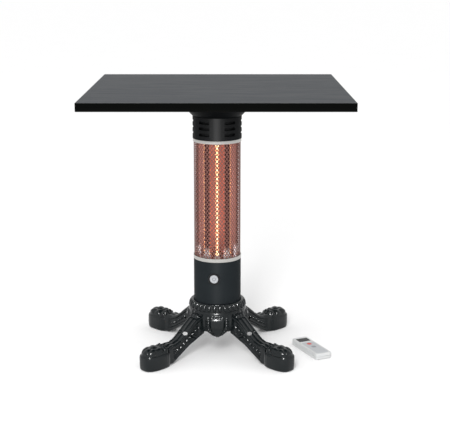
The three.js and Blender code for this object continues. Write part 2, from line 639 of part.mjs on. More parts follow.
/** Leg along +X: a pierced strut with a scroll on the crown, and a foot with a domed paw on a plinth. */
function legSolid() {
  const strut = new THREE.Shape();
  const root = crownTopRadius - 10;
  strut.moveTo(root, TONGUE_SHOULDER - 11);
  strut.lineTo(hubSkirtRadius, TONGUE_SHOULDER - 14);
  strut.quadraticCurveTo(128, 40, 152, 26);
  strut.lineTo(FOOT_INNER - 4, FOOT_LIFT);
  strut.lineTo(FOOT_INNER + 20, FOOT_LIFT);
  strut.lineTo(FOOT_INNER + 20, PAW_HEIGHT - 5);
  strut.quadraticCurveTo(FOOT_INNER - 2, PAW_HEIGHT + 1, FOOT_INNER - 20, PAW_HEIGHT - 8);
  strut.quadraticCurveTo(158, 62, 142, 74);
  strut.lineTo(124, 90);
  strut.quadraticCurveTo(VOLUTE_REACH + 3, 102, VOLUTE_REACH - 1, VOLUTE_TOP - 10);
  strut.quadraticCurveTo(VOLUTE_REACH + 2, VOLUTE_TOP - 1, VOLUTE_REACH - 15, VOLUTE_TOP);
  strut.lineTo(root, VOLUTE_TOP);
  const eye = new THREE.Path();
  eye.absellipse(128, 66, 12, 7, 0, 2 * Math.PI, true, -0.6);
  strut.holes.push(eye);
  let leg = sidePrism(strut, LEG_WIDTH);

  const half = FOOT_WIDTH / 2;
  const plinth = new THREE.Shape();
  plinth.moveTo(FOOT_INNER, -half + 7);
  plinth.lineTo(FOOT_INNER + 16, -half);
  plinth.lineTo(FOOT_OUTER - 30, -half);
  plinth.quadraticCurveTo(FOOT_OUTER - 3, -half, FOOT_OUTER, 0);
  plinth.quadraticCurveTo(FOOT_OUTER - 3, half, FOOT_OUTER - 30, half);
  plinth.lineTo(FOOT_INNER + 16, half);
  plinth.lineTo(FOOT_INNER, half - 7);
  leg = leg.add(prism(plinth, FOOT_LIFT, FOOT_BAND));
  const pawLength = (FOOT_OUTER - FOOT_INNER) / 2 - 4;
  const paw = new THREE.SphereGeometry(1, 12, 7).rotateX(Math.PI / 2);
  paw.scale(pawLength, half - 3, PAW_HEIGHT - FOOT_BAND + 6);
  leg = leg.add(solidOf(paw).translate([(FOOT_OUTER + FOOT_INNER) / 2 - 1, 0, FOOT_BAND - 6]));
  leg = leg.subtract(hubEnvelope(SEAT_GAP));
  const below = 100;
  const footMiddle = (FOOT_OUTER + FOOT_INNER) / 2;
  leg = leg.subtract(block(footMiddle, 0, FOOT_LIFT - below / 2, 2 * FOOT_WIDTH, 2 * FOOT_WIDTH, below));
  const recess = bar(GLIDE_RADIUS + SEAT_GAP, -50, GLIDE_HEIGHT + SEAT_GAP, 16);
  return leg.subtract(recess.translate([GLIDE_CIRCLE, 0, 0]));
}

function buildLegs() {
  const leg = legSolid();
  const pad = [[0, 0], [GLIDE_RADIUS - 1, 0], [GLIDE_RADIUS, 1]];
  pad.push([GLIDE_RADIUS, GLIDE_HEIGHT], [0, GLIDE_HEIGHT]);
  const glide = turned(pad, 16).translate([GLIDE_CIRCLE, 0, 0]);
  for (let i = 0; i < LEG_COUNT; i += 1) {
    const turn = -45 + (360 / LEG_COUNT) * i;
    add(`base_leg_${i + 1}`, spun(leg, turn), castIron);
    add(`foot_glide_${i + 1}`, spun(glide, turn), nylon);
  }
}

// ---------------------------------------------------------------- remote control

/** The remote lies on the floor, its long side along its own Y and its window end at +Y. */
function buildRemote() {
  const remote = new THREE.Group();
  remote.position.set(REMOTE_X, REMOTE_Y, 0);
  remote.rotation.z = THREE.MathUtils.degToRad(REMOTE_TURN_DEG);
  heater.add(remote);
  const seam = REMOTE_THICKNESS / 2;
  const wall = 2;
  const outline = roundedRectangle(REMOTE_WIDTH, REMOTE_LENGTH, REMOTE_CORNER);
  const room = roundedRectangle(REMOTE_WIDTH - 2 * wall, REMOTE_LENGTH - 2 * wall, REMOTE_CORNER - wall);
  const panelDepth = 1.2;
  const panelFloor = REMOTE_THICKNESS - panelDepth;

  // Window and keypad lie in recesses of the upper case.
  const windowPlace = { y: 49, width: 36, length: 27 };
  const padPlace = { y: -21, width: 38, length: 94 };
  let upper = prism(outline, seam + SEAT_GAP / 2, REMOTE_THICKNESS);
  upper = upper.subtract(prism(room, 0, REMOTE_THICKNESS - 2 * wall));
  const windowShape = roundedRectangle(windowPlace.width, windowPlace.length, 1);
  const windowRoomSizes = [windowPlace.width + 2 * SEAT_GAP, windowPlace.length + 2 * SEAT_GAP];
  const windowRoom = roundedRectangle(...windowRoomSizes, 1.2);
  const padShape = roundedRectangle(padPlace.width, padPlace.length, 6);
  const padRoom = roundedRectangle(padPlace.width + 2 * SEAT_GAP, padPlace.length + 2 * SEAT_GAP, 6.2);
  const windowPocket = prism(windowRoom, panelFloor, REMOTE_THICKNESS + 1);
  upper = upper.subtract(windowPocket.translate([0, windowPlace.y, 0]));
  upper = upper.subtract(prism(padRoom, panelFloor, REMOTE_THICKNESS + 1).translate([0, padPlace.y, 0]));
  const panelBottom = panelFloor + SEAT_GAP;
  const lens = prism(windowShape, panelBottom, REMOTE_THICKNESS).translate([0, windowPlace.y, 0]);
  add("remote_window", lens, blackPlastic, remote);

  // Keys stand in holes through the keypad and the case, and press down by their travel.
  let pad = prism(padShape, panelBottom, REMOTE_THICKNESS - 0.2).translate([0, padPlace.y, 0]);
  const keys = [
    { name: "remote_power_key", y: 12, radius: 7, material: redRubber },
    { name: "remote_mode_key", y: -14, radius: 7, material: whitePlastic },
  ];
  for (const key of keys) {
    const hole = bar(key.radius + SEAT_GAP, seam, REMOTE_THICKNESS + 2, 14).translate([0, key.y, 0]);
    upper = upper.subtract(hole);
    pad = pad.subtract(hole);
    const top = REMOTE_THICKNESS + 0.8;
    const profile = [[0, panelFloor - 3], [key.radius, panelFloor - 3], [key.radius, top - 0.6]];
    profile.push([key.radius - 0.8, top], [0, top]);
    add(key.name, turned(profile, 14).translate([0, key.y, 0]), key.material, remote);
  }
  add("remote_keypad", pad, greyRubber, remote);
  add("remote_upper_case", upper, whitePlastic, remote);

  // The battery cover slides off the lower end of the lower case.
  const cover = { width: 38, length: 62, thickness: 1.6 };
  const coverY = -REMOTE_LENGTH / 2 + cover.length / 2 + 4;
  const slot = cover.thickness + 2 * SEAT_GAP;
  let lower = prism(outline, 0, seam - SEAT_GAP / 2);
  lower = lower.subtract(prism(room, wall + slot, seam + 1));
  const slotLength = cover.length + 4 + 2 * SEAT_GAP;
  const slotY = -REMOTE_LENGTH / 2 + slotLength / 2 - 1;
  const slotSizes = [cover.width + 2 * SEAT_GAP, slotLength + 2, slot + 2];
  lower = lower.subtract(block(0, slotY, slot / 2 - 1, ...slotSizes));
  add("remote_lower_case", lower, whitePlastic, remote);
  const lid = block(0, coverY, SEAT_GAP + cover.thickness / 2, cover.width, cover.length, cover.thickness);
  add("remote_battery_cover", lid, whitePlastic, remote);
}

buildTable();
buildHead();
buildHeatingSection();
buildLowerHousing();
buildHub();
buildLegs();
buildRemote();

export default heater;
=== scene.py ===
# %% [markdown]
# # An infrared heater that carries a table
# The object is a square table board on a heated column: a turned flange, a pierced head, a caged lamp
# section between two bright rings, a plain housing with one button, and a cast base with four legs. A
# remote control lies on the floor beside it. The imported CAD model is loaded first, because every piece
# made here takes its place and its size from it.

# %% Load the frame
import bpy
import bmesh
import numpy as np
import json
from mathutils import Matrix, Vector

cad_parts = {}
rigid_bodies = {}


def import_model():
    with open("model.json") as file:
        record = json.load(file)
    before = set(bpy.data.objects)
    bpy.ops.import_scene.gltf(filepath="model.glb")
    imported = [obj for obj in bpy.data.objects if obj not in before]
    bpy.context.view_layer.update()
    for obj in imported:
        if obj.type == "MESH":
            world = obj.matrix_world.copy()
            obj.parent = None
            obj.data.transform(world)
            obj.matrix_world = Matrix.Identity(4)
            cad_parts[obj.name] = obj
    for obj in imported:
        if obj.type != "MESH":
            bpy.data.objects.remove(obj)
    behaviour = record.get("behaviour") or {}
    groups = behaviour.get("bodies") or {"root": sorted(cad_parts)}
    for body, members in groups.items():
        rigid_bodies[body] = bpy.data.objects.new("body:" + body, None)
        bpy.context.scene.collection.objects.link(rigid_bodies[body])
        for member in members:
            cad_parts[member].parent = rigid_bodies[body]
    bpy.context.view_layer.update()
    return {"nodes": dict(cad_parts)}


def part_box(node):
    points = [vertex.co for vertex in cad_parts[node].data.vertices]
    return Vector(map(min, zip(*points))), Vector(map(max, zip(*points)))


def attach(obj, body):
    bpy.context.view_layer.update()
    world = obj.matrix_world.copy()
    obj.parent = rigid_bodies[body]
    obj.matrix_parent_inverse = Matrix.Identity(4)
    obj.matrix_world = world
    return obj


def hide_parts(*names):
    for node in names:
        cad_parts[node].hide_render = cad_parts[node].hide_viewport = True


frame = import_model()
MM = 0.001


def corners(node):
    """The lowest and the highest corner of a CAD node at rest, in millimetres."""
    low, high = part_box(node)
    return np.array(low) / MM, np.array(high) / MM


# %% [markdown]
# ## Surfaces as arrays
# Each new piece is a grid of points: one direction of the grid follows a profile, the other follows a
# circle, an outline or a path. Whole arrays are worked out at once with numpy, which is quicker than
# placing points one by one and keeps the formula readable. A pair (points, faces) is called a shape.

# %% Grids of points become shapes
def surface(grid, wrap_rows=False, wrap_columns=False):
    """Joins each point of a grid to the next one along its row and its column with four-sided faces."""
    rows, columns = grid.shape[:2]
    index = np.arange(rows * columns).reshape(rows, columns)
    if wrap_rows:
        index = np.vstack([index, index[:1]])
    if wrap_columns:
        index = np.hstack([index, index[:, :1]])
    faces = np.stack([index[:-1, :-1], index[:-1, 1:], index[1:, 1:], index[1:, :-1]], axis=-1)
    return grid.reshape(-1, 3), faces.reshape(-1, 4)


def joined(*shapes):
    """One shape from several: the points follow each other and the faces count on from them."""
    starts = np.cumsum([0] + [len(points) for points, _ in shapes[:-1]])
    points = np.vstack([points for points, _ in shapes])
    return points, np.vstack([faces + start for start, (_, faces) in zip(starts, shapes)])


def moved(shape, offset):
    """The same shape, shifted by a vector."""
    return shape[0] + np.array(offset, float), shape[1]


def turned_about_z(shape, degrees):
    """The same shape, turned about the upright axis: the plan is multiplied by a turning matrix."""
    c, s = np.cos(np.radians(degrees)), np.sin(np.radians(degrees))
    return shape[0] @ np.array([[c, s, 0], [-s, c, 0], [0, 0, 1]]), shape[1]


# %% [markdown]
# A sharp corner catches no light, so turned profiles get small rounded corners first. A bevel modifier
# would do it too, but a rounded profile gives each corner its own radius and stays a plain formula.

# %% Rounded profiles
def softened(corner_points, radius, steps=4, closed=True):
    """Each corner of a polygon becomes a parabola: it leaves the side at most a radius before the
    corner, heads for the corner, and ends a radius after it."""
    corner = np.array(corner_points, float)
    before, after = np.roll(corner, 1, axis=0) - corner, np.roll(corner, -1, axis=0) - corner
    reach = np.broadcast_to(np.asarray(radius, float), len(corner))[:, None]

    def cut(side):
        """The point on a side where the rounding begins; it uses less than half of a short side."""
        length = np.maximum(np.linalg.norm(side, axis=1, keepdims=True), 1e-9)
        return corner + side / length * np.minimum(reach, 0.45 * length)

    start, end = cut(before), cut(after)
    if not closed:
        start[0] = end[0] = corner[0]
        start[-1] = end[-1] = corner[-1]
    t = np.linspace(0, 1, steps + 1)[None, :, None]
    curve = (1 - t) ** 2 * start[:, None] + 2 * t * (1 - t) * corner[:, None] + t**2 * end[:, None]
    return curve.reshape(-1, 2)


def lathe(profile, around=96, ring=False):
    """A profile of (radius, height) carried round the upright axis: x = radius times the sine of the
    angle and y = minus radius times its cosine, so that angle 0 is the front."""
    profile = np.asarray(profile, float)
    angle = np.linspace(0, 2 * np.pi, around, endpoint=False)
    radius, height = profile[:, :1], profile[:, 1:]
    grid = np.stack([radius * np.sin(angle), -radius * np.cos(angle), height + 0 * angle], axis=-1)
    return surface(grid, wrap_rows=ring, wrap_columns=True)


def rounded_square(half_x, half_y, radius, steps=8):
    """A rectangle with round corners as points in the plan, and the outward direction at each: each
    corner is a quarter circle about a centre that lies a radius inside both of its sides."""
    turn = np.linspace(0, np.pi / 2, steps + 1)
    angle = (np.arange(4)[:, None] * np.pi / 2 + turn).reshape(-1)
    sign_x = np.repeat([1, -1, -1, 1], steps + 1)
    sign_y = np.repeat([1, 1, -1, -1], steps + 1)
    outward = np.stack([np.cos(angle), np.sin(angle)], axis=-1)
    centre = np.stack([sign_x * (half_x - radius), sign_y * (half_y - radius)], axis=-1)
    return centre, outward


def moulding(profile, half_x, half_y, radius, ring=False, steps=8):
    """A profile of (inset, height) carried round a rectangle with round corners. An inset larger than
    the corner's radius moves the corner's centre in as well; the last rows may meet in the middle."""
    centre, outward = rounded_square(half_x, half_y, radius, steps)
    profile = np.asarray(profile, float)
    inset = profile[:, 0][:, None, None]
    deep = np.maximum(inset - radius, 0)
    plan = np.sign(centre) * np.maximum(np.abs(centre) - deep, 0) + outward * np.maximum(radius - inset, 0)
    height = np.broadcast_to(profile[:, 1][:, None, None], plan.shape[:2] + (1,))
    return surface(np.concatenate([plan, height], axis=-1), wrap_rows=ring, wrap_columns=True)


def slab(half_x, half_y, radius, bottom, top, edge=1.0):
    """A flat plate with round corners and softened edges, closed in the middle above and below. A
    loop just inside each edge keeps the shading of the large faces flat."""
    reach, inner = max(half_x, half_y), 2 * edge
    points = [(reach, bottom), (inner, bottom), (0, bottom), (0, top), (inner, top), (reach, top)]
    rim = softened(points, [0, 0, edge, edge, 0, 0], closed=False)
    return moulding(rim, half_x, half_y, radius)


def facing(shape, azimuth, height):
    """Lays a shape made about +Z so that its axis points outward at an azimuth from the front: its own
    x goes sideways, its y goes up and its z goes out."""
    a = np.radians(azimuth)
    sideways, out = np.array([np.cos(a), np.sin(a), 0]), np.array([np.sin(a), -np.cos(a), 0])
    x, y, z = shape[0].T[:, :, None]
    return x * sideways + y * np.array([0, 0, 1]) + z * out + np.array([0, 0, height]), shape[1]


# %% [markdown]
# ## From a shape to a piece
# A piece is a mesh object that stays at the origin and rides on a body of the CAD model. Points that
# fall on each other are merged, so that poles and seams close, and the faces are turned outward.

# %% Merge the points of a mesh
def merged(mesh, distance):
    """Merges points that are at most a distance apart and turns the faces outward."""
    work = bmesh.new()
    work.from_mesh(mesh)
    bmesh.ops.remove_doubles(work, verts=work.verts, dist=distance)
    bmesh.ops.recalc_face_normals(work, faces=work.faces)
    work.to_mesh(mesh)
    work.free()
    return mesh


# %% Make a piece
MERGE = 0.003  # millimetres


def piece(name, shape, finish, body="heater", stands_for=(), crease=35):
    """Puts a shape in millimetres into the scene in metres, smooth except where it bends sharply. The
    line it prints counts the edges that don't join exactly two faces; a closed mesh has none."""
    mesh = bpy.data.meshes.new(name)
    faces = [face[:3] if face[2] == face[3] else face for face in shape[1].tolist()]
    mesh.from_pydata((shape[0] * MM).tolist(), [], faces)
    merged(mesh, MERGE * MM)
    mesh.polygons.foreach_set("use_smooth", np.ones(len(mesh.polygons), bool))
    mesh.set_sharp_from_angle(angle=np.radians(crease))
    mesh.materials.append(finish.material)
    thing = bpy.data.objects.new(name, mesh)
    bpy.context.scene.collection.objects.link(thing)
    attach(thing, body)
    if stands_for:
        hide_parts(*stands_for)
    edge = np.empty(len(mesh.loops), int)
    mesh.loops.foreach_get("edge_index", edge)
    loose = int((np.bincount(edge, minlength=len(mesh.edges)) != 2).sum())
    print(f"{name}: {len(mesh.polygons)} faces, {loose} edges without two faces")
    return thing


# %% [markdown]
# ## Finishes
# A finish is one material. Its patterns are sums: noise, waves and masks that are added and multiplied
# before they reach the shader, so a small class lets those sums be written as ordinary arithmetic.

# %% Sockets that can be added and multiplied
class Wire:
    """An output socket of a material. Arithmetic on it adds Math nodes."""

    def __init__(self, finish, socket):
        self.finish, self.socket = finish, socket

    def maths(self, operation, *values):
        """One Math node that takes sockets or plain numbers."""
        return self.finish.node("ShaderNodeMath", {"operation": operation}, *values)

    def __add__(self, other):
        return self.maths("ADD", self, other)

    def __sub__(self, other):
        return self.maths("SUBTRACT", self, other)

    def __rsub__(self, other):
        return self.maths("SUBTRACT", other, self)

    def __mul__(self, other):
        return self.maths("MULTIPLY", self, other)

    __radd__ = __add__
    __rmul__ = __mul__

    def step(self, low, high):
        """0 up to low, 1 from high on, and a smooth slope between."""
        settings = {"interpolation_type": "SMOOTHSTEP"}
        return self.finish.node("ShaderNodeMapRange", settings, self, low, high)


# %% [markdown]
# A finish is one material with one Principled shader. The object's own coordinates feed its noises and
# masks, so no unwrapping is needed and a mask can sit at a true height in metres.

# %% A finish and its nodes
class Finish:
    """A material with one Principled shader."""

    def __init__(self, name, **constants):
        self.material = bpy.data.materials.new(name)
        self.material.use_nodes = True
        self.tree = self.material.node_tree
        self.shader = self.tree.nodes["Principled BSDF"]
        self.set(**constants)

    def feed(self, socket, value):
        """Links a wire to a socket, or writes a plain number or colour into it."""
        if isinstance(value, Wire):
            self.tree.links.new(value.socket, socket)
        elif np.ndim(value) and socket.type == "RGBA":
            socket.default_value = (*value, 1)
        else:
            socket.default_value = value

    def node(self, kind, settings, *values, out=0, **named):
        """Any node: its settings first, then its sockets in order or by name."""
        node = self.tree.nodes.new(kind)
        for name, value in settings.items():
            setattr(node, name, value)
        for socket, value in zip(node.inputs, values):
            if value is not None:
                self.feed(socket, value)
        for name, value in named.items():
            self.feed(node.inputs[name.replace("_", " ")], value)
        return Wire(self, node.outputs[out])

    def set(self, **sockets):
        """Feeds sockets of the shader by name, with _ for each space."""
        for name, value in sockets.items():
            self.feed(self.shader.inputs[name.replace("_", " ")], value)

    def place(self, scale=(1, 1, 1)):
        """The point on the object in metres, stretched along each axis."""
        where = self.node("ShaderNodeTexCoord", {}, out="Object")
        return self.node("ShaderNodeMapping", {}, Vector=where, Scale=scale)

    def height(self):
        """The height above the floor, in metres."""
        return self.node("ShaderNodeSeparateXYZ", {}, self.place(), out=2)

    def noise(self, scale, stretch=(1, 1, 1), detail=3.0):
        """Cloudy patches from 0 to 1, finer as the scale goes up."""
        return self.node("ShaderNodeTexNoise", {}, Vector=self.place(stretch), Scale=scale, Detail=detail)

    def mix(self, mask, first, second):
        """first where the mask is 0, second where it is 1."""
        values = [mask, None, None, None, None, None, first, second]
        return self.node("ShaderNodeMix", {"data_type": "RGBA"}, *values, out=2)

    def bump(self, height, depth, strength=1.0):
        """Light as if the surface stood up by height times depth, in millimetres."""
        wire = self.node("ShaderNodeBump", {}, Strength=strength, Distance=depth * MM, Height=height)
        self.set(Normal=wire)
        return self


# %% [markdown]
# ### Painted and plated metal
# Powder paint has a fine orange-peel texture and is a little cloudy in its gloss. The trim rings are
# brushed round, so their scratches are stretched noise that changes quickly with height only.

# %% Metal finishes
def painted(name, colour, rough, shine=0.12, peel=0.02, cloud=0.06):
    """Paint: gloss that drifts slowly, a colour that varies a little, and a fine skin."""
    paint = Finish(name, IOR=1.45, Specular_IOR_Level=shine)
    drift = paint.noise(18, detail=4)
    paint.set(Roughness=drift * cloud + (rough - cloud / 2))
    paint.set(Base_Color=paint.mix(drift, [c * 0.85 for c in colour], [c * 1.15 for c in colour]))
    return paint.bump(paint.noise(2600, detail=2), peel)


def brushed(name, colour, rough, stretch, depth=0.01):
    """Bare metal with fine parallel scratches: noise that is squeezed across the scratches."""
    metal = Finish(name, Metallic=1.0)
    scratches = metal.noise(60, stretch, detail=4)
    metal.set(Roughness=scratches * 0.16 + rough)
    metal.set(Base_Color=metal.mix(scratches, [c * 0.82 for c in colour], colour))
    return metal.bump(scratches, depth)


black_steel = painted("powder_paint", (0.0135, 0.0165, 0.0185), 0.45, shine=0.016)
# The bell gets a darker copy of the black paint: painted shade for the shadow under the board.
bell_steel_painted_shade = painted("bell_paint_painted_shade", (0.0022, 0.0026, 0.003), 0.45, shine=0.04)
head_steel = painted("head_paint", (0.009, 0.0095, 0.010), 0.5, shine=0.03)
zinc = brushed("zinc_plate", (0.55, 0.56, 0.58), 0.3, (1, 1, 6))
ring_steel = brushed("brushed_ring", (0.50, 0.49, 0.47), 0.3, (0.3, 0.3, 60))
# The guard wire's red tint is partly heat tint and partly painted reflection of the lamps' red glow.
guard_steel = brushed("guard_wire", (0.24, 0.115, 0.10), 0.22, (1, 1, 1))
print("materials, the CAD model's own among them:", len(bpy.data.materials))


# %% [markdown]
# ### Laminate, enamel, plastic and porcelain
# The board is covered with a dark laminate that is printed and pressed with a fine wood grain: noise
# stretched a long way from left to right. Its band is glossy black plastic.

# %% Laminate and plastics
def grained(name, dark, light):
    """Wood grain: fine lines and broad figure are the same noise at two scales, both stretched in x."""
    board = Finish(name, IOR=1.5, Specular_IOR_Level=0.06)
    figure = board.noise(14, (0.35, 4.5, 1), detail=5)
    pores = board.noise(160, (0.05, 3.0, 1), detail=3)
    lines = pores.step(0.42, 0.68)
    board.set(Base_Color=board.mix(figure * 0.6 + lines * 0.4, dark, light))
    board.set(Roughness=lines * 0.12 + 0.40)
    return board.bump(lines + figure * 0.3, 0.05)


def moulded(name, colour, rough, depth=0.012, **more):
    """Moulded plastic: a nearly even colour under a fine spark-eroded texture."""
    plastic = Finish(name, IOR=1.46, **more)
    cloud = plastic.noise(30, detail=2)
    plastic.set(Base_Color=plastic.mix(cloud, [c * 0.93 for c in colour], colour))
    plastic.set(Roughness=cloud * 0.08 + rough)
    return plastic.bump(plastic.noise(3200, detail=1), depth)


laminate = grained("dark_laminate", (0.005, 0.0075, 0.0105), (0.024, 0.0305, 0.038))
band_plastic = moulded("band_plastic", (0.001, 0.0012, 0.001), 0.14, Specular_IOR_Level=0.04)
black_plastic = moulded("black_plastic", (0.004, 0.004, 0.0045), 0.3, Specular_IOR_Level=0.3)
silver_plastic = moulded("silver_plastic", (0.42, 0.43, 0.45), 0.34, Metallic=0.5)
white_plastic = moulded("white_plastic", (0.56, 0.57, 0.57), 0.32)
keypad_rubber = moulded("keypad_rubber", (0.44, 0.455, 0.47), 0.5)
grey_rubber = moulded("grey_key", (0.26, 0.27, 0.29), 0.5)
red_rubber = moulded("red_key", (0.55, 0.05, 0.04), 0.45)
glide_nylon = moulded("glide_nylon", (0.02, 0.02, 0.02), 0.5)
relay_blue = moulded("relay_case", (0.02, 0.10, 0.36), 0.35)
ceramic = moulded("lamp_ceramic", (0.74, 0.70, 0.64), 0.6, depth=0.03)
mark_ink = moulded("mark_ink", (0.10, 0.10, 0.11), 0.4)
window_plastic = moulded("dark_window", (0.004, 0.004, 0.005), 0.09, depth=0.002, Specular_IOR_Level=0.12)

# %% [markdown]
# ### Enamelled casting, glowing lamps and reflectors with painted glow
# The base is an iron-coloured casting under semi-gloss enamel. The lamps are lit: the wire glows almost
# white, the quartz round it glows orange, which is painted light, and the polished reflectors behind it
# show the red light, painted into them, less at their bottom end, where painted white reflections of
# the studio show on the plain sheet.

# %% Casting enamel
enamel = Finish("cast_enamel", IOR=1.5, Specular_IOR_Level=0.26)
sand = enamel.noise(700, detail=3)
patches = enamel.noise(28, detail=4)
enamel.set(Roughness=patches * 0.14 + 0.15)
enamel.set(Base_Color=enamel.mix(patches, (0.0025, 0.0042, 0.0048), (0.007, 0.0095, 0.0105)))
enamel.bump(sand + patches * 0.5, 0.08)

# %% [markdown]
# The reflectors are polished sheet that mirrors wires that glow red with heat. Glow from the wires alone
# would take many light bounces to settle, so part of the glow is painted into the sheet as soft, uneven
# stripes, and the sheet's red tint is painted reflection of that glow as well. Near the bottom, white
# streaks are painted reflections of the studio, and the ridges where two troughs meet are painted dark as
# painted shade of the gap between them.

# %% Reflectors, quartz and wire
heat_low = corners("guard_mesh")[0][2] * MM
reflector = Finish("polished_reflector", Metallic=1.0, Emission_Strength=1.0)
painted_glow_rise = reflector.height().step(heat_low + 0.004, heat_low + 0.085)
from_axis = reflector.node("ShaderNodeVectorMath", {"operation": "LENGTH"},
                           reflector.place((1, 1, 0)), out=1)
ridge_mask = from_axis.step(0.0515, 0.0545)
streaks = reflector.noise(150, (1, 1, 0.03), detail=3)
ripple = reflector.noise(45, (1, 1, 0.5), detail=3)
# The sheet's red tint stands for the lamps' glow in it: painted reflection.
sheet_tinted_by_painted_glow = reflector.mix(streaks, (0.24, 0.10, 0.08), (0.60, 0.36, 0.32))
# The lowest part of the sheet gets no painted glow; the white streaks there are painted reflections of the
# studio.
below_painted_glow = 1 - reflector.height().step(heat_low + 0.022, heat_low + 0.040)
flank = from_axis.step(0.0465, 0.048) - from_axis.step(0.053, 0.0545)
# The ridges are painted dark, as painted shade of the gap between two troughs; near the bottom they show
# patches of plain bright metal.
ridge_with_painted_shade = reflector.mix(below_painted_glow * ripple.step(0.3, 0.5), (0.03, 0.016, 0.016), (0.95, 0.95, 0.95))
reflector.set(Base_Color=reflector.mix(ridge_mask, sheet_tinted_by_painted_glow, ridge_with_painted_shade))
reflector.set(Roughness=ripple * 0.2 + 0.12 + ridge_mask * 0.25)
# Painted glow: red stripes in the emission, dark on the ridges as painted shade, fading out towards the
# bottom.
glow = reflector.mix(streaks * 0.5 + ripple * 0.5, (0.13, 0.022, 0.014), (0.36, 0.13, 0.092))
glow_with_painted_ridge_shade = reflector.mix(ridge_mask, glow, (0.008, 0.001, 0.0005))
painted_glow = reflector.mix(painted_glow_rise, (0.0, 0.0, 0.0), glow_with_painted_ridge_shade)
# The white emission on the low flanks of the ridges is a painted reflection of the studio.
reflector.set(Emission_Color=reflector.mix(below_painted_glow * flank * ripple.step(0.4, 0.55), painted_glow, (0.85, 0.80, 0.83)))
reflector.bump(ripple, 0.3)

quartz = Finish("quartz_glass", IOR=1.46, Emission_Strength=0.25)
heat = quartz.height().step(heat_low + 0.004, heat_low + 0.03)
quartz.set(Base_Color=quartz.mix(quartz.noise(90, (1, 1, 0.1)), (0.95, 0.62, 0.42), (1.0, 0.80, 0.62)))
# The quartz is no lamp: its orange glow is painted light, emission along its heated length.
quartz.set(Emission_Color=quartz.mix(heat, (0.05, 0.01, 0.0), (1.0, 0.36, 0.13)))
quartz.set(Roughness=quartz.noise(40) * 0.05 + 0.03)
quartz.set(Alpha=heat * 0.15 + 0.15)

wire_glow = Finish("glowing_wire", Roughness=0.5, Emission_Strength=6.0)
coil_heat = wire_glow.noise(60, (1, 1, 0.3), detail=2)
wire_glow.set(Base_Color=wire_glow.mix(coil_heat, (0.6, 0.3, 0.15), (0.8, 0.5, 0.3)))
wire_glow.set(Emission_Color=wire_glow.mix(coil_heat, (1.0, 0.62, 0.30), (1.0, 0.80, 0.50)))

# %% [markdown]
# The boards sit inside the housing. Green lacquer with paler tracks is enough: a brick pattern gives
# straight tracks of different lengths.

# %% Circuit board
circuit = Finish("circuit_board", IOR=1.5, Roughness=0.35)
tracks = circuit.node("ShaderNodeTexBrick", {}, Vector=circuit.place((1, 1, 1)), Scale=90,
                      Mortar_Size=0.03, out=1)
circuit.set(Base_Color=circuit.mix(tracks, (0.012, 0.13, 0.05), (0.03, 0.24, 0.10)))
circuit.bump(tracks, 0.05)
print("materials, the CAD model's own among them:", len(bpy.data.materials))

# %% [markdown]
# ## The table
# The board is a thick laminated panel, and a plastic band closes its four edges. Both are a short
# profile carried round a square. The arris of the band is rounded, because that narrow curve is what
# catches the light along the front edge.

# %% Board and edge band
band_low, band_high = corners("table_edge_band")
half_table = band_high[0]
board_bottom, board_top = band_low[2], band_high[2]
BAND = 2.0
CORNER = 3.0
piece("table_board_panel", slab(half_table - BAND - 0.15, half_table - BAND - 0.15, 1.6,
                                board_bottom + 0.1, board_top - 0.1, 0.3),
      laminate, stands_for=["table_board"])
band = softened([(0, board_bottom), (BAND, board_bottom), (BAND, board_top), (0, board_top)],
                [0.9, 0.3, 0.3, 0.9])
piece("table_band", moulding(band, half_table, half_table, CORNER, ring=True),
      band_plastic, stands_for=["table_edge_band"])
print("board and band:", round(2 * half_table, 1), "mm across,", round(board_top - board_bottom, 1),
      "mm thick")

# %% [markdown]
# The flange is a spun bell that widens to the board. It is turned on a lathe: a power curve gives its
# flare, the same curve moved inward gives its inner side, and a softened lip joins the two. A plain
# cone would lack the hollow curve that is seen against the light.

# %% Flange under the board
flange_low, flange_high = corners("table_flange")
NECK, MOUTH, FLANGE_WALL, RIM_HEIGHT = 67.5, 112.0, 3.0, 4.0
rim_low = flange_high[2] - RIM_HEIGHT
climb = np.linspace(0, 1, 40)
flare = NECK + (MOUTH - NECK) * climb**0.85
rise = flange_low[2] + (rim_low - flange_low[2]) * climb
outside = np.stack([flare, rise], axis=-1)
lip = softened([(MOUTH, rim_low), (flange_high[0], rim_low), (flange_high[0], flange_high[2]),
                (MOUTH - 4, flange_high[2])], [2, 1.2, 0.8, 0], closed=False)[1:]
inside = np.stack([flare - FLANGE_WALL, rise], axis=-1)[::-1]
piece("table_bell", lathe(np.vstack([outside, lip, inside]), 160, ring=True),
      bell_steel_painted_shade, stands_for=["table_flange"])

# %% [markdown]
# Four screws hold the flange. Their heads are flat domes with a cross in the middle. The cross is part
# of the height formula, so it needs no boolean.

# %% Screws with a cross recess
def cross_head(radius, height, around=48, rings=14):
    """A pan head: a flat dome whose middle is cut by a cross. The cut is deep where either coordinate
    is small and the point is near the middle."""
    share = np.linspace(0, 1, rings)[:, None]
    angle = np.linspace(0, 2 * np.pi, around, endpoint=False)[None]
    x, y = radius * share * np.cos(angle), radius * share * np.sin(angle)
    slot_width = np.minimum(np.abs(x), np.abs(y))
    cut = np.clip((0.75 - slot_width) / 0.3, 0, 1) * np.clip((radius * 0.62 - np.hypot(x, y)) / 0.5, 0, 1)
    z = -height * np.sqrt(1 - 0.75 * share**2) + cut * height * 0.6
    dome = np.stack([x, y, z], axis=-1)
    back = np.stack([x[-1:], y[-1:], 0 * x[-1:]], axis=-1)
    middle = np.zeros((1, around, 3))
    return surface(np.concatenate([dome, back, middle]), wrap_columns=True)


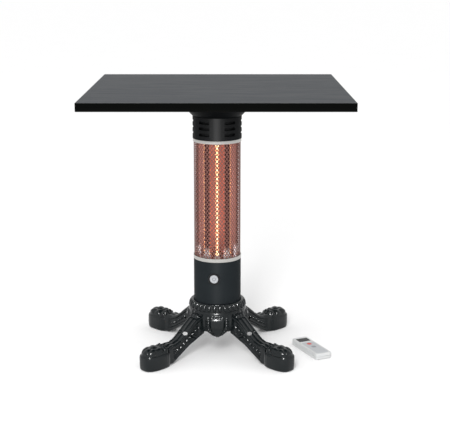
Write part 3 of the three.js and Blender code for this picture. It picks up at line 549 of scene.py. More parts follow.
SCREW_HEAD_RADIUS, SCREW_HEAD_HEIGHT, SHANK_RADIUS, SHANK_START, TIP = 5, 3, 2.3, 2.9, 4
for number in range(1, 5):
    low, high = corners(f"table_screw_{number}")
    centre, length = (low + high) / 2, high[2] - low[2]
    shank = lathe([(0, SHANK_START), (SHANK_RADIUS, SHANK_START), (SHANK_RADIUS, length - TIP),
                   (0, length)], 24)
    screw_head = moved(cross_head(SCREW_HEAD_RADIUS, SCREW_HEAD_HEIGHT), (0, 0, SCREW_HEAD_HEIGHT))
    screw = joined(screw_head, shank)
    piece(f"screw_{number}", moved(screw, (centre[0], centre[1], low[2])), zinc,
          stands_for=[f"table_screw_{number}"], crease=30)


# %% [markdown]
# ## Pierced walls
# The head and the housing are tubes of thin sheet with openings. The tube is unrolled into cells. A
# cell with an opening is a frame: its outer rim is a rectangle, its inner rim is the opening with the
# same number of points, and both are rolled up again at the outer and at the inner radius.

# %% Cells of an unrolled tube
def rim(low, high, across, up, dense_ends):
    """The edge of a rectangle, counter-clockwise from its lower left corner, with a number of steps
    across and up. With dense ends the points crowd at the corners: a point's share of the way is half
    of 1 minus the cosine of its share of a half turn."""
    def spread(steps):
        """Steps from 0 up to 1, even or crowded at both ends."""
        t = np.linspace(0, 1, steps, endpoint=False)
        return (1 - np.cos(np.pi * t)) / 2 if dense_ends else t

    a, b = spread(across), spread(up)
    x = np.concatenate([a, 1 + 0 * b, 1 - a, 0 * b])
    y = np.concatenate([0 * a, b, 1 + 0 * a, 1 - b])
    return np.stack([low[0] + (high[0] - low[0]) * x, low[1] + (high[1] - low[1]) * y], axis=-1)


def opening(low, high, radius, across, up):
    """The edge of an opening with round corners: each point of the rectangle is pulled towards the
    smaller rectangle that lies a radius inside it, until it is a radius away from it."""
    edge = rim(low, high, across, up, dense_ends=True)
    core = np.clip(edge, np.array(low) + radius, np.array(high) - radius)
    away = edge - core
    return core + radius * away / np.maximum(np.linalg.norm(away, axis=1, keepdims=True), 1e-9)


def pierced_tube(outer, inner, across_breaks, up_breaks, holes, across=10, up=6):
    """A tube cut into cells at angles in degrees and at heights. holes maps a cell (column, row) to
    (low, high, radius) of its opening, in millimetres along the wall and in height."""
    def rolled(flat, radius):
        """The flat wall rolled up: the way along it over the outer radius is the angle."""
        angle = flat[..., 0] / outer
        return np.stack([radius * np.sin(angle), -radius * np.cos(angle), flat[..., 1]], axis=-1)

    shapes = []
    along = np.radians(across_breaks) * outer
    for column in range(len(along) - 1):
        for row in range(len(up_breaks) - 1):
            low, high = (along[column], up_breaks[row]), (along[column + 1], up_breaks[row + 1])
            if (column, row) in holes:
                frame_edge = rim(low, high, across, up, dense_ends=False)
                hole = opening(*holes[column, row], across, up)
                rings = [rolled(frame_edge, outer), rolled(hole, outer), rolled(hole, inner),
                         rolled(frame_edge, inner)]
                shapes.append(surface(np.stack(rings), wrap_columns=True))
            else:
                x, y = np.meshgrid(np.linspace(low[0], high[0], across + 1),
                                   np.linspace(low[1], high[1], up + 1))
                flat = np.stack([x, y], axis=-1)
                shapes += [surface(rolled(flat, outer)), surface(rolled(flat, inner))]
    steps = [np.linspace(a, b, across, endpoint=False) for a, b in zip(along, along[1:])]
    round_end = np.concatenate(steps)
    for height in (up_breaks[0], up_breaks[-1]):
        flat = np.stack([round_end, height + 0 * round_end], axis=-1)
        shapes.append(surface(np.stack([rolled(flat, inner), rolled(flat, outer)]), wrap_columns=True))
    return joined(*shapes)


# %% Head with three rows of slots
head_low, head_high = corners("head_shell")
head_radius = head_high[0]
VENT_ROWS = (634.1, 650.8, 667.5)
VENT_HEIGHT, VENT_SPAN = 8.2, 29.0
vent_centres = np.array([-148, -90, -32, 32, 90, 148])
head_angles = np.sort(np.concatenate([vent_centres - 22, vent_centres + 22]))
head_angles = np.append(head_angles, head_angles[0] + 360)
middles = [(a + b) / 2 for a, b in zip(VENT_ROWS, VENT_ROWS[1:])]
head_heights = [head_low[2], VENT_ROWS[0] - 7, *middles, VENT_ROWS[2] + 7, head_high[2]]
vents = {}
for column in range(0, 12, 2):
    centre = np.radians((head_angles[column] + head_angles[column + 1]) / 2) * head_radius
    half = np.radians(VENT_SPAN / 2) * head_radius
    for row, height in enumerate(VENT_ROWS):
        low, high = (centre - half, height - VENT_HEIGHT / 2), (centre + half, height + VENT_HEIGHT / 2)
        vents[column, row + 1] = (low, high, 2.2)
head = pierced_tube(head_radius, head_radius - 1.5, head_angles, head_heights, vents)
LIP_DEPTH, LIP_GAP, LIP_THICKNESS = 11, 0.2, 1.5
lip_inside, lip_outside = head_radius - LIP_DEPTH, head_radius - LIP_GAP
lip_corners = [(lip_inside, head_low[2]), (lip_outside, head_low[2]),
               (lip_outside, head_low[2] + LIP_THICKNESS), (lip_inside, head_low[2] + LIP_THICKNESS)]
lower_lip = lathe(softened(lip_corners, 0.5), 120, ring=True)
upper_lip = moved(lower_lip, (0, 0, head_high[2] - head_low[2] - LIP_THICKNESS))
# A plain dark sleeve behind the slots stands in for the shade inside the head: it keeps hands and light
# out, so that the slots look dark.
sleeve_inside, sleeve_outside = head_radius - 10, head_radius - 9
sleeve_bottom, sleeve_top = head_low[2] + 1, head_high[2] - 10
shade_sleeve = lathe([(sleeve_inside, sleeve_bottom), (sleeve_outside, sleeve_bottom),
                (sleeve_outside, sleeve_top), (sleeve_inside, sleeve_top)], 96, ring=True)
piece("pierced_head", joined(head, lower_lip, upper_lip, shade_sleeve), head_steel,
      stands_for=["head_shell"])

# %% [markdown]
# A bright ring closes the guard above and below. It is a thin angle section turned on a lathe, with a
# rounded arris that catches the light. The lower ring is the upper one turned over.

# %% Bright trim rings
for name, node, upward in (("ring_above_guard", "upper_trim_ring", 1),
                           ("ring_below_guard", "lower_trim_ring", -1)):
    low, high = corners(node)
    far, near = (high[2], low[2]) if upward > 0 else (low[2], high[2])
    outline = [(58, far), (high[0], far), (high[0], near), (high[0] - 1.2, near),
               (high[0] - 1.2, far - 1.2 * upward), (58, far - 1.2 * upward)]
    piece(name, lathe(softened(outline, [0.3, 1.0, 0.5, 0.3, 0.3, 0.3]), 160, ring=True), ring_steel,
          stands_for=[node])

# %% [markdown]
# ## The lamp section
# The guard is expanded metal: sheet that is slit and stretched until the slits open into diamonds. It
# is a field of frames, each a diamond with a diamond hole, and every second row is shifted by half a
# diamond. The edge that two frames share stands a little proud, as a stretched strand does.

# %% Guard of expanded metal
def expanded_metal(outer, inner, low, high, columns, rows, open_share):
    """Diamonds on a cylinder. Corner k of a diamond lies at its centre plus half its width or half its
    height; the hole's corners are the same, scaled; heights are clipped at the two ends, and the
    edges that are cut there are closed with one more row of faces."""
    half_width, half_height = np.pi / columns, (high - low) / rows
    row, column = np.meshgrid(np.arange(rows + 1), np.arange(columns), indexing="ij")
    middle = np.stack([(2 * column + row % 2) * half_width, low + row * half_height], axis=-1)
    corner = np.array([(half_width, 0), (0, half_height), (-half_width, 0), (0, -half_height)])
    layers = []
    for share, radius in ((1, outer), (open_share, outer - 0.35), (open_share, inner), (1, inner)):
        flat = middle[:, :, None] + corner * share
        angle, height = flat[..., 0], np.clip(flat[..., 1], low, high)
        layers.append(np.stack([radius * np.sin(angle), -radius * np.cos(angle), height], axis=-1))
    grid = np.stack(layers, axis=2).reshape(-1, 4, 4, 3)
    count = len(grid)
    index = np.arange(count * 16).reshape(count, 4, 4)
    ahead = np.roll(index, -1, axis=2)
    faces = np.stack([index[:, :-1], ahead[:, :-1], ahead[:, 1:], index[:, 1:]], axis=-1)
    cut = np.concatenate([index[:columns, :, 2:], index[-columns:, :, :2]])
    cut_ahead = np.concatenate([ahead[:columns, :, 2:], ahead[-columns:, :, :2]])
    ends = np.stack([cut[:, 3], cut_ahead[:, 3], cut_ahead[:, 0], cut[:, 0]], axis=-1)
    return grid.reshape(-1, 3), np.vstack([faces.reshape(-1, 4), ends.reshape(-1, 4)])


guard_low, guard_high = corners("guard_mesh")
guard_radius = guard_high[0]
GUARD_BAND, GUARD_SHEET, OVERLAP = 4.0, 0.9, 0.4
GUARD_COLUMNS, GUARD_ROWS, OPEN_SHARE = 44, 54, 0.68
mesh_low, mesh_high = guard_low[2] + GUARD_BAND, guard_high[2] - GUARD_BAND
guard_inside = guard_radius - GUARD_SHEET
diamonds = expanded_metal(guard_radius, guard_inside, mesh_low, mesh_high, GUARD_COLUMNS, GUARD_ROWS,
                          OPEN_SHARE)
bands = [lathe([(guard_inside, a), (guard_radius, a), (guard_radius, b), (guard_inside, b)], 96, ring=True)
         for a, b in ((guard_low[2], mesh_low + OVERLAP), (mesh_high - OVERLAP, guard_high[2]))]
print("guard:", round(2 * guard_radius, 1), "mm across,", round(guard_high[2] - guard_low[2], 1),
      "mm high")
piece("guard_cage", joined(diamonds, *bands), guard_steel, stands_for=["guard_mesh"],
      crease=25)

# %% [markdown]
# Six troughs of polished sheet stand in a ring, one behind each lamp. Each has a parabolic section, so
# that it throws the heat outward, and ends in a flat ridge that meets its neighbour.

# %% Reflectors
RIDGE_RADIUS, RIDGE_HALF, TROUGH_DEPTH, SHEET = 58.5, 7.0, 24.0, 0.8
ridge_out = np.array([0.5, -np.sqrt(3) / 2])
ridge_in = np.array([-np.sqrt(3) / 2, -0.5])
edge_point = ridge_out * RIDGE_RADIUS + ridge_in * RIDGE_HALF
seam_point = ridge_out * RIDGE_RADIUS + ridge_in * 0.3
s = np.linspace(-1, 1, 33)
trough = np.stack([edge_point[0] * s, -TROUGH_DEPTH + (edge_point[1] + TROUGH_DEPTH) * s**2], axis=-1)
section = np.vstack([seam_point * [-1, 1], trough, seam_point])
along = np.gradient(section, axis=0)
normal = np.stack([-along[:, 1], along[:, 0]], axis=-1) / np.linalg.norm(along, axis=1, keepdims=True)
behind = section + normal * SHEET
loop = np.vstack([section, behind[::-1]])
heights = np.array([guard_low[2], guard_high[2]])
wall_grid = np.stack([np.column_stack([loop, np.full(len(loop), h)]) for h in heights])
end_grids = [np.stack([np.column_stack([section, np.full(len(section), h)]),
                       np.column_stack([behind, np.full(len(section), h)])]) for h in heights]
trough_sheet = joined(surface(wall_grid, wrap_columns=True), *[surface(grid) for grid in end_grids])
for number in range(6):
    piece(f"reflector_sheet_{number + 1}", turned_about_z(trough_sheet, 60 * number), reflector,
          stands_for=[f"reflector_{number + 1}"], crease=40)


# %% [markdown]
# Each lamp is a quartz tube that stands in two porcelain sockets, with a coiled wire along its middle.
# The wire is a small circle carried along a helix.

# %% Quartz tubes, sockets and coiled wires
def coil(radius, wire, low, high, turns, samples=9, sides=5):
    """A helix: the centre of the wire turns at a fixed radius while it climbs evenly. Round the centre
    the section is a circle in the plane of the outward and the upward direction."""
    angle = np.linspace(0, 2 * np.pi * turns, turns * samples + 1)[:, None]
    around = np.linspace(0, 2 * np.pi, sides, endpoint=False)[None]
    thickness = wire * np.ones_like(angle)
    thickness[[0, -1]] = 0
    reach = radius + thickness * np.cos(around)
    climb = low + (high - low) * angle / angle[-1] + thickness * np.sin(around)
    grid = np.stack([reach * np.sin(angle), -reach * np.cos(angle), climb], axis=-1)
    return surface(grid, wrap_columns=True)


tube_low, tube_high = corners("quartz_tube_1")
wire_low, wire_high = corners("filament_1")
TUBE_BORE, TUBE_RADIUS, COIL_RADIUS, WIRE_RADIUS, COIL_TURNS = 4.5, 5.5, 1.2, 0.5, 130
tube = lathe([(TUBE_BORE, tube_low[2]), (TUBE_RADIUS, tube_low[2]),
              (TUBE_RADIUS, tube_high[2]), (TUBE_BORE, tube_high[2])], 32, ring=True)
winding = coil(COIL_RADIUS, WIRE_RADIUS, wire_low[2] + 2, wire_high[2] - 2, COIL_TURNS)
stub = [(0, 0), (4.2, 0), (4.2, 3), (1.2, 3.6), (0, 3.6)]
stubs = [moved(lathe(stub, 16), (0, 0, wire_low[2])),
         lathe([(r, wire_high[2] - z) for r, z in stub], 16)]
collar = [(5.7, 0), (7.6, 0), (7.6, 4), (6.9, 4.6), (6.9, 6.2), (7.6, 6.8), (7.6, 10.5), (6.6, 11.5),
          (5.7, 11.5)]
socket_low = moved(lathe(collar, 32, ring=True), (0, 0, guard_low[2]))
socket_high = lathe([(r, guard_high[2] - z) for r, z in collar], 32, ring=True)
for number in range(1, 7):
    # Each lamp stands in the middle of the box of the CAD tube that it replaces.
    low, high = corners(f"quartz_tube_{number}")
    at = ((low[0] + high[0]) / 2, (low[1] + high[1]) / 2, 0)
    piece(f"lamp_tube_{number}", moved(tube, at), quartz,
          stands_for=[f"quartz_tube_{number}"])
    piece(f"lamp_wire_{number}", moved(joined(winding, *stubs), at), wire_glow,
          stands_for=[f"filament_{number}"])
    piece(f"lamp_sockets_{number}", moved(joined(socket_low, socket_high), at), ceramic)

# %% [markdown]
# ## The housing, its button and the cable gland
# The lower housing is one more pierced tube, with a hole for the button in front and one for the cable
# gland behind. The button sits in a black ring; its face is slightly dished and carries the usual mark
# for power, a broken circle with a bar.

# %% Lower housing
shell_low, shell_high = corners("lower_shell")
shell_radius = shell_high[0]
BUTTON_AZIMUTH, BUTTON_HEIGHT, BUTTON_HOLE = -7.8, 224.0, 17.3
GLAND_HEIGHT, GLAND_HOLE = 178.0, 8.3
angles = [BUTTON_AZIMUTH - 19, BUTTON_AZIMUTH + 19, 60, 110, 168, 192, 240, 290, BUTTON_AZIMUTH + 341]
levels = [shell_low[2], 150, 200, 248, shell_high[2]]


def round_hole(azimuth, height, radius):
    """The box and the corner radius of a round opening in the unrolled wall."""
    x = np.radians(azimuth) * shell_radius
    return (x - radius, height - radius), (x + radius, height + radius), radius * 0.999


holes = {(0, 2): round_hole(BUTTON_AZIMUTH, BUTTON_HEIGHT, BUTTON_HOLE),
         (4, 1): round_hole(180, GLAND_HEIGHT, GLAND_HOLE)}
housing = pierced_tube(shell_radius, shell_radius - 1.5, angles, levels, holes, across=14, up=8)
piece("lower_housing", housing, black_steel, stands_for=["lower_shell"])

# %% [markdown]
# Ring and button are made standing up, as a turner would make them, and then laid to face outward.
# The mark is a raised line: a small section that follows a broken circle, and a thin plate.

# %% Button and its ring
ring_profile = softened([(3.3, 53.5), (17, 53.5), (17, 68.5), (12.3, 68.5), (12.3, 55.5), (3.3, 55.5)],
                        [0.3, 0.3, 1.2, 0.9, 0.3, 0.3])
piece("button_ring", facing(lathe(ring_profile, 72, ring=True), BUTTON_AZIMUTH, BUTTON_HEIGHT),
      black_plastic, stands_for=["button_bezel"])
cap_profile = softened([(0, 54.9), (3, 54.9), (3, 62.7), (12, 62.7), (12, 67.7), (10.6, 67.6), (0, 67.15)],
                       [0, 0.3, 0.3, 0.5, 0.7, 0.6, 0], closed=False)
MARK_STEPS = 40
turn = np.radians(np.linspace(35, 325, MARK_STEPS))[:, None]
arc_r = np.array([4.0, 5.0, 5.0, 4.0])[None]
arc_z = np.array([66.8, 66.8, 67.6, 67.6])[None]
# The section shrinks to a line at the first and the last step, which closes the two ends.
arc_r = np.where((np.arange(MARK_STEPS) % (MARK_STEPS - 1) == 0)[:, None], 4.5, arc_r)
power_arc = surface(np.stack([arc_r * np.sin(turn), arc_r * np.cos(turn), arc_z + 0 * turn], axis=-1),
                    wrap_columns=True)
power_bar = moved(slab(0.5, 2.3, 0.4, 66.8, 67.6, 0.1), (0, 4.2, 0))
piece("button_cap", facing(lathe(cap_profile, 72), BUTTON_AZIMUTH, BUTTON_HEIGHT),
      silver_plastic, body="power_button", stands_for=["power_button"])
piece("button_mark", facing(joined(power_arc, power_bar), BUTTON_AZIMUTH, BUTTON_HEIGHT),
      mark_ink, body="power_button")

# %% [markdown]
# The gland at the back is a turned barrel with a nut. A nut is a lathe with only six steps round.

# %% Cable gland
barrel = softened([(4.5, 59), (8, 59), (8, 73.5), (9.8, 74), (9.3, 78), (7.2, 79.8), (4.5, 79.8)],
                  [0.2, 0.3, 0.2, 0.8, 1.5, 0.8, 0.6])
nut = softened([(5, 67.9), (11.9, 67.9), (11.9, 73.2), (5, 73.2)], [0.1, 0.8, 0.8, 0.1])
gland = joined(lathe(barrel, 48, ring=True), lathe(nut, 6, ring=True))
piece("gland_body", facing(gland, 180, GLAND_HEIGHT), black_plastic,
      stands_for=["cable_gland"])

# %% [markdown]
# Plates, brackets and boards inside are flat or plain, and their CAD shape is already right. They stay
# as they are and only get a finish.

# %% Inner parts that keep their CAD shape
def refinish(finish, *nodes):
    """Gives CAD nodes a new finish; their shape stays."""
    for node in nodes:
        for place in frame["nodes"][node].material_slots:
            place.material = finish.material


refinish(zinc, "heat_baffle", "lower_lamp_plate", "upper_lamp_plate", "core_tube", "electronics_bracket",
         "tip_switch_pendulum", "tie_nut")
refinish(black_plastic, "push_switch")
refinish(white_plastic, "tip_switch_body", "remote_lower_case", "remote_battery_cover")
refinish(circuit, "control_board")
refinish(relay_blue, "power_relay")

# %% [markdown]
# ## The remote control
# A slim white case with round corners lies on the floor. Its window and its keypad are thin plates in
# the upper half, and its two keys are low domes that move down when they are pressed.

# %% Remote control
REMOTE_AT, REMOTE_TURN = (272.0, -40.0, 0.0), 25.0
REMOTE_HALF, REMOTE_CORNER, SEAM, REMOTE_TOP = (25.25, 75.0), 9.0, 9.0, 18.0


def on_remote(shape, x=0.0, y=0.0):
    """From the remote's own axes, with y along its length, to its place on the floor."""
    return moved(turned_about_z(moved(shape, (x, y, 0)), REMOTE_TURN), REMOTE_AT)


cover = softened([(75, SEAM + 0.3), (0, SEAM + 0.3), (0, REMOTE_TOP), (75, REMOTE_TOP)],
                 [0, 0.5, 3.5, 0], steps=6, closed=False)
piece("remote_top_case", on_remote(moulding(cover, *REMOTE_HALF, REMOTE_CORNER)), white_plastic,
      body="remote", stands_for=["remote_upper_case"])
piece("remote_screen", on_remote(slab(18, 13.5, 1.5, 17.3, 18.16, 0.25), y=49), window_plastic,
      body="remote", stands_for=["remote_window"])
rim_line = softened([(0, 17.3), (0, 18.3), (1.2, 18.3), (1.6, 17.3)], [0.1, 0.4, 0.4, 0.1])
pad = joined(slab(18.6, 46.6, 5.6, 17.3, 18.12, 0.3), moulding(rim_line, 19, 47, 6, ring=True))
piece("remote_keys_pad", on_remote(pad, y=-21), keypad_rubber, body="remote",
      stands_for=["remote_keypad"])
dome = softened([(0, 17.0), (7, 17.0), (7, 18.5), (4, 18.8), (0, 18.75)],
                [0, 0.1, 0.6, 1, 0], closed=False)
piece("remote_power_dome", on_remote(lathe(dome, 40), y=12), red_rubber, body="remote_power_key",
      stands_for=["remote_power_key"])
piece("remote_mode_dome", on_remote(lathe(dome, 40), y=-14), grey_rubber, body="remote_mode_key",
      stands_for=["remote_mode_key"])

# %% [markdown]
# ## The cast base
# The hub is one ornate casting. Its body is turned, and everything on it is relief: a row of upright
# eggs under the rim, a smooth shield with a beaded frame on each of the four sides, and shallow flutes
# between. Each ornament is a height that is added to the radius, so the relief is one sum over angle
# and height. The lower edge dips to a rounded tip under each shield.

# %% Small shapes that reliefs are made of
def eased(value, low, high):
    """0 up to low, 1 from high on, and a smooth cubic between."""
    t = np.clip((value - low) / (high - low), 0, 1)
    return t * t * (3 - 2 * t)


def egg(across, along, half_across, half_along):
    """The upper half of an ellipsoid of height 1: the root of one minus the squared distance."""
    return np.sqrt(np.clip(1 - (across / half_across) ** 2 - (along / half_along) ** 2, 0, 1))


def ridge(value, centre, width):
    """A rounded ridge: a bell curve of height 1."""
    return np.exp(-(((value - centre) / width) ** 2))


def nearest(value, pitch):
    """How far a value is from the nearest multiple of a pitch, with its sign."""
    return value - pitch * np.round(value / pitch)


# %% Hub
hub_low, hub_high = corners("base_hub")
CROWN_TOP, HUB_TIP = hub_high[2], hub_low[2]
EGGS, SIDES_OF_HUB = 32, 4
angle = np.linspace(0, 2 * np.pi, 576, endpoint=False)[None]
side_angle = nearest(angle, 2 * np.pi / SIDES_OF_HUB)
lower_edge = HUB_TIP + 16 * np.minimum(np.abs(side_angle * 87) / 30, 1) ** 1.4
z = lower_edge + (CROWN_TOP - 1.2 - lower_edge) * np.linspace(0, 1, 122)[:, None]
body = np.interp(z, [57, 66, 85, 108, 126, 143, 150], [83, 84, 86.5, 85, 81, 76, 75])
across = side_angle * body
egg_angle = nearest(angle - np.pi / EGGS, 2 * np.pi / EGGS)
relief = 4.8 * egg(egg_angle * body, z - 139, 5.2, 9.5) - 1.4 * ridge(z, 127, 1.5)
shield_half = 23 * np.sqrt(np.clip((z - 58.5) / 30, 0, 1))
below_crown = 1 - eased(z, 103, 121)
relief = relief + 4.6 * eased(shield_half - np.abs(across), -0.5, 7) * below_crown
frame_beads = 0.55 + 0.45 * np.cos(2 * np.pi * z / 8)
relief = relief + 3.4 * ridge(np.abs(across), shield_half + 5, 2.3) * frame_beads * below_crown
relief = relief + 2.4 * egg(nearest(across, 8), z - 115, 3.6, 4.2) * (np.abs(across) < 20)
between = eased(np.abs(across), 33, 38) * ridge(z, 108, 16)
relief = relief + 1.8 * np.cos(EGGS * angle + np.pi) * between
outer_radius = body + relief
upper = np.stack([outer_radius * np.sin(angle), -outer_radius * np.cos(angle), z], axis=-1)
inner_profile = [(74.2, 149.8), (73, 150), (69, 150), (67.9, 149.2), (67.9, 112), (11.6, 112), (11.6, 104),
                 (70, 104), (70, 74)]
inner = [np.stack([r * np.sin(angle[0]), -r * np.cos(angle[0]), h + 0 * angle[0]], axis=-1)
         for r, h in inner_profile]
skirt = np.stack([78 * np.sin(angle[0]), -78 * np.cos(angle[0]), lower_edge[0] + 1], axis=-1)
hub_grid = np.concatenate([upper, np.stack(inner), skirt[None]])
piece("cast_hub", surface(hub_grid, wrap_rows=True, wrap_columns=True), enamel,
      stands_for=["base_hub"], crease=50)


# %% [markdown]
# ## The legs
# Each leg is a strut, a scroll where it leaves the hub, and a foot shaped like a paw on a plinth. The
# strut is a box section with rounded edges, carried outward while its height changes. Its sides are
# sunk panels with a row of beads, and its top carries three ribs. A small eye goes right through the
# strut near the hub, and a boolean cuts it, because a hole across a sweep is simpler cut than woven.

# %% Box section with rounded edges
def box_section(half_width, half_height, radius, steps):
    """Points of a rounded rectangle for many sizes at once, its outward normals, and where each point
    is across and up, both from -1 to 1."""
    unit = rim((-1, -1), (1, 1), steps, steps, dense_ends=False)
    half = np.stack([half_width, half_height], axis=-1)[:, None]
    edge = unit * half
    core = np.clip(edge, radius - half, half - radius)
    away = edge - core
    normal = away / np.maximum(np.linalg.norm(away, axis=-1, keepdims=True), 1e-9)
    return core + radius * normal, normal, np.broadcast_to(unit, edge.shape)


def strut(samples=150, steps=26):
    """The strut along +x: y across, z up. The reliefs are pushed out along the section's normal."""
    x = np.linspace(74, 210, samples)
    top = np.interp(x, [74, 100, 122, 142, 162, 180, 196, 210], [116, 108, 91, 75, 61, 55, 56, 50])
    bottom = np.interp(x, [74, 84, 106, 130, 154, 178, 194, 210], [62, 59, 49, 39, 25, 11, 3, 3])
    smooth_width = np.interp(x, [74, 120, 180, 210], [21, 19.5, 19, 22])
    middle, half_height = (top + bottom) / 2, (top - bottom) / 2
    flat, normal, unit = box_section(smooth_width, half_height, 4.0, steps)
    along = x[:, None]
    on_side = eased(np.abs(normal[..., 0]), 0.7, 0.99)
    on_top = eased(normal[..., 1], 0.7, 0.99)
    panel_length = eased(along, 88, 94) * (1 - eased(along, 186, 194))
    panel = eased(0.66 - np.abs(unit[..., 1]), 0, 0.10) * panel_length
    up = flat[..., 1]
    beads = egg(nearest(along, 11.5), up, 4.2, 3.6) * panel
    side_ribs = ridge(np.abs(unit[..., 1]), 0.42, 0.07) * panel
    ribs = ridge(flat[..., 0], 0, 4.0) * 3.0 + ridge(np.abs(flat[..., 0]), 14.5, 2.2) * 2.2
    push = on_side * (beads * 4.4 + side_ribs * 1.6 - panel * 3.6) + on_top * (ribs - 1.2)
    flat = flat + normal * push[..., None]
    grid = np.stack([np.broadcast_to(along, up.shape), flat[..., 0], flat[..., 1] + middle[:, None]],
                    axis=-1)
    ends = [np.broadcast_to(grid[k].mean(axis=0), (1,) + grid[k].shape) for k in (0, -1)]
    return surface(np.concatenate([ends[0], grid, ends[1]]), wrap_columns=True)


# %% [markdown]
# Where the leg leaves the hub it ends in a scroll, a roll that lies across it. It is one closed surface
# round the roll's axis: an end face with a spiral groove, the fluted barrel, and the other end face.

# %% Scroll at the top of the leg
def scroll(centre_x, centre_z, radius, half_width):
    """A roll that lies across the leg. On its two ends a spiral groove runs inward: the height is the
    cosine of the distance from the middle minus the angle. Round the roll there are shallow flutes."""
    theta = np.linspace(0, 2 * np.pi, 72, endpoint=False)[None]
    rho = np.linspace(0, radius - 1.5, 26)[:, None]
    fade = eased(rho, 0.5, 3) * eased(radius - rho, 1.5, 3.5)
    swirl = 1.5 * np.cos(2 * np.pi * rho / 5.2 - theta) * fade
    face = half_width + swirl + 1.6 * egg(rho, 0, 3.2, 1)
    y = np.linspace(half_width - 1.5, -half_width + 1.5, 30)[:, None]
    barrel = radius - 1.3 * (0.5 - 0.5 * np.cos(2 * np.pi * y / 10.5)) + 0 * theta
    rows_r = np.concatenate([rho + 0 * theta, barrel, rho[::-1] + 0 * theta])
    rows_y = np.concatenate([face, y + 0 * theta, -face[::-1]])
    grid = np.stack([centre_x + rows_r * np.cos(theta), rows_y, centre_z + rows_r * np.sin(theta)],
                    axis=-1)
    return surface(grid, wrap_columns=True)


# %% [markdown]
# The foot is a plinth with a paw on it. Sculpting it by hand would be the usual way; here a smooth dome
# over an oval is the base, and toes, roll and knuckle are heights added to it, so that all four agree.

# %% Foot
def paw(near, far, half_width, floor, band, top):
    """A plinth with a paw on it. The outline is a rounded oval; it rises almost straight to the band,
    steps in, and closes as a dome. Toes are ribs along the front half, and a roll and a hollow cross
    the back half."""
    centre, half_length = (near + far) / 2, (far - near) / 2
    theta = np.linspace(0, 2 * np.pi, 144, endpoint=False)[None]
    oval_x = np.sign(np.cos(theta)) * np.abs(np.cos(theta)) ** 0.72
    oval_y = np.sign(np.sin(theta)) * np.abs(np.sin(theta)) ** 0.72
    sides = np.array([(0.0, floor + 1), (0.90, floor), (0.96, floor + 0.8), (0.985, floor + 5),
                      (1.0, floor + 14), (1.0, band - 8), (0.99, band - 3), (0.97, band - 0.8),
                      (0.94, band), (0.90, band + 0.3)])
    share = np.concatenate([sides[:, 0], 0.88 * np.cos(np.linspace(0.05, np.pi / 2, 46))])[:, None]
    x, y = half_length * share * oval_x, half_width * share * oval_y
    dome = band + (top - band - 3) * np.sin(np.linspace(0.05, np.pi / 2, 46)) ** 0.8
    z = np.concatenate([sides[:, 1], dome])[:, None] + 0 * theta
    high = eased(z, band + 0.5, band + 7)
    turn = np.arctan2(y / half_width, x / half_length)
    rim_side = eased(np.hypot(x / half_length, y / half_width), 0.35, 0.7)
    toes = 4.2 * (np.abs(np.cos(3.5 * turn)) ** 0.7 - 0.45) * rim_side * eased(x, -14, -4)
    roll = 3.0 * ridge(x, -27, 6) - 5.0 * ridge(x, -14, 4) - 2.5 * ridge(x, -38, 4)
    curl = 1.6 * np.cos(2 * np.pi * y / 11) * ridge(x, -27, 8)
    knuckle = 2.0 * ridge(np.hypot(x - 6, y), 0, 7) - 2.4 * ridge(np.hypot(x - 6, y), 11, 3)
    z = z + high * (toes + roll + curl + knuckle)
    beads = 1.2 * egg(nearest(x, 9), z - (band - 5), 3.4, 3.4) * (np.abs(oval_y) > 0.8) * (x < 4)
    y = y + np.sign(y) * beads
    return surface(np.stack([centre + x, y, z], axis=-1), wrap_columns=True)


# %% [markdown]
# The eye is cut by two oval bars that cross inside the strut, so that it can be seen through from the
# front on both sides of the base. The finished leg is turned to its four places.

# %% Cut the eye and put the legs together
def tunnel(centre, direction, half_wide, half_high, reach=48):
    """An oval bar through a point: its section lies along the level line square to the direction and
    along the line square to both."""
    direction = np.array(direction) / np.linalg.norm(direction)
    level = np.cross(direction, (0, 0, 1))
    level = level / np.linalg.norm(level)
    upright = np.cross(level, direction)
    theta = np.linspace(0, 2 * np.pi, 28, endpoint=False)[:, None]
    oval = half_wide * np.cos(theta) * level + half_high * np.sin(theta) * upright
    stations = ((-reach, 0), (-reach, 1), (reach, 1), (reach, 0))
    rows = [np.array(centre) + direction * along + oval * size for along, size in stations]
    return surface(np.stack(rows), wrap_columns=True)


def with_cuts(shape, *cutters):
    """Cuts holes with booleans and gives the cut mesh back as a shape. Slivers that the cut leaves are
    dissolved. The faces are triangles, each written with its last point twice."""
    things = []
    for points, faces in (shape, *cutters):
        mesh = bpy.data.meshes.new("scratch")
        mesh.from_pydata(points.tolist(), [], faces.tolist())
        thing = bpy.data.objects.new("scratch", merged(mesh, MERGE))
        bpy.context.scene.collection.objects.link(thing)
        things.append(thing)
    for cutter in things[1:]:
        cut = things[0].modifiers.new("eye", "BOOLEAN")
        cut.operation, cut.solver, cut.object = "DIFFERENCE", "EXACT", cutter
    solid = things[0].evaluated_get(bpy.context.evaluated_depsgraph_get()).to_mesh()
    work = bmesh.new()
    work.from_mesh(solid)
    bmesh.ops.dissolve_degenerate(work, edges=work.edges, dist=0.004)
    print("strut with its eye:", len(work.faces), "faces")
    solid = bpy.data.meshes.new("scratch_cut")
    work.to_mesh(solid)
    work.free()
    solid.calc_loop_triangles()
    points = np.empty(len(solid.vertices) * 3)
    corners_of = np.empty(len(solid.loop_triangles) * 3, int)
    solid.vertices.foreach_get("co", points)
    solid.loop_triangles.foreach_get("vertices", corners_of)
    for thing in things:
        bpy.data.objects.remove(thing)
    three = corners_of.reshape(-1, 3)
    return points.reshape(-1, 3), np.hstack([three, three[:, 2:]])


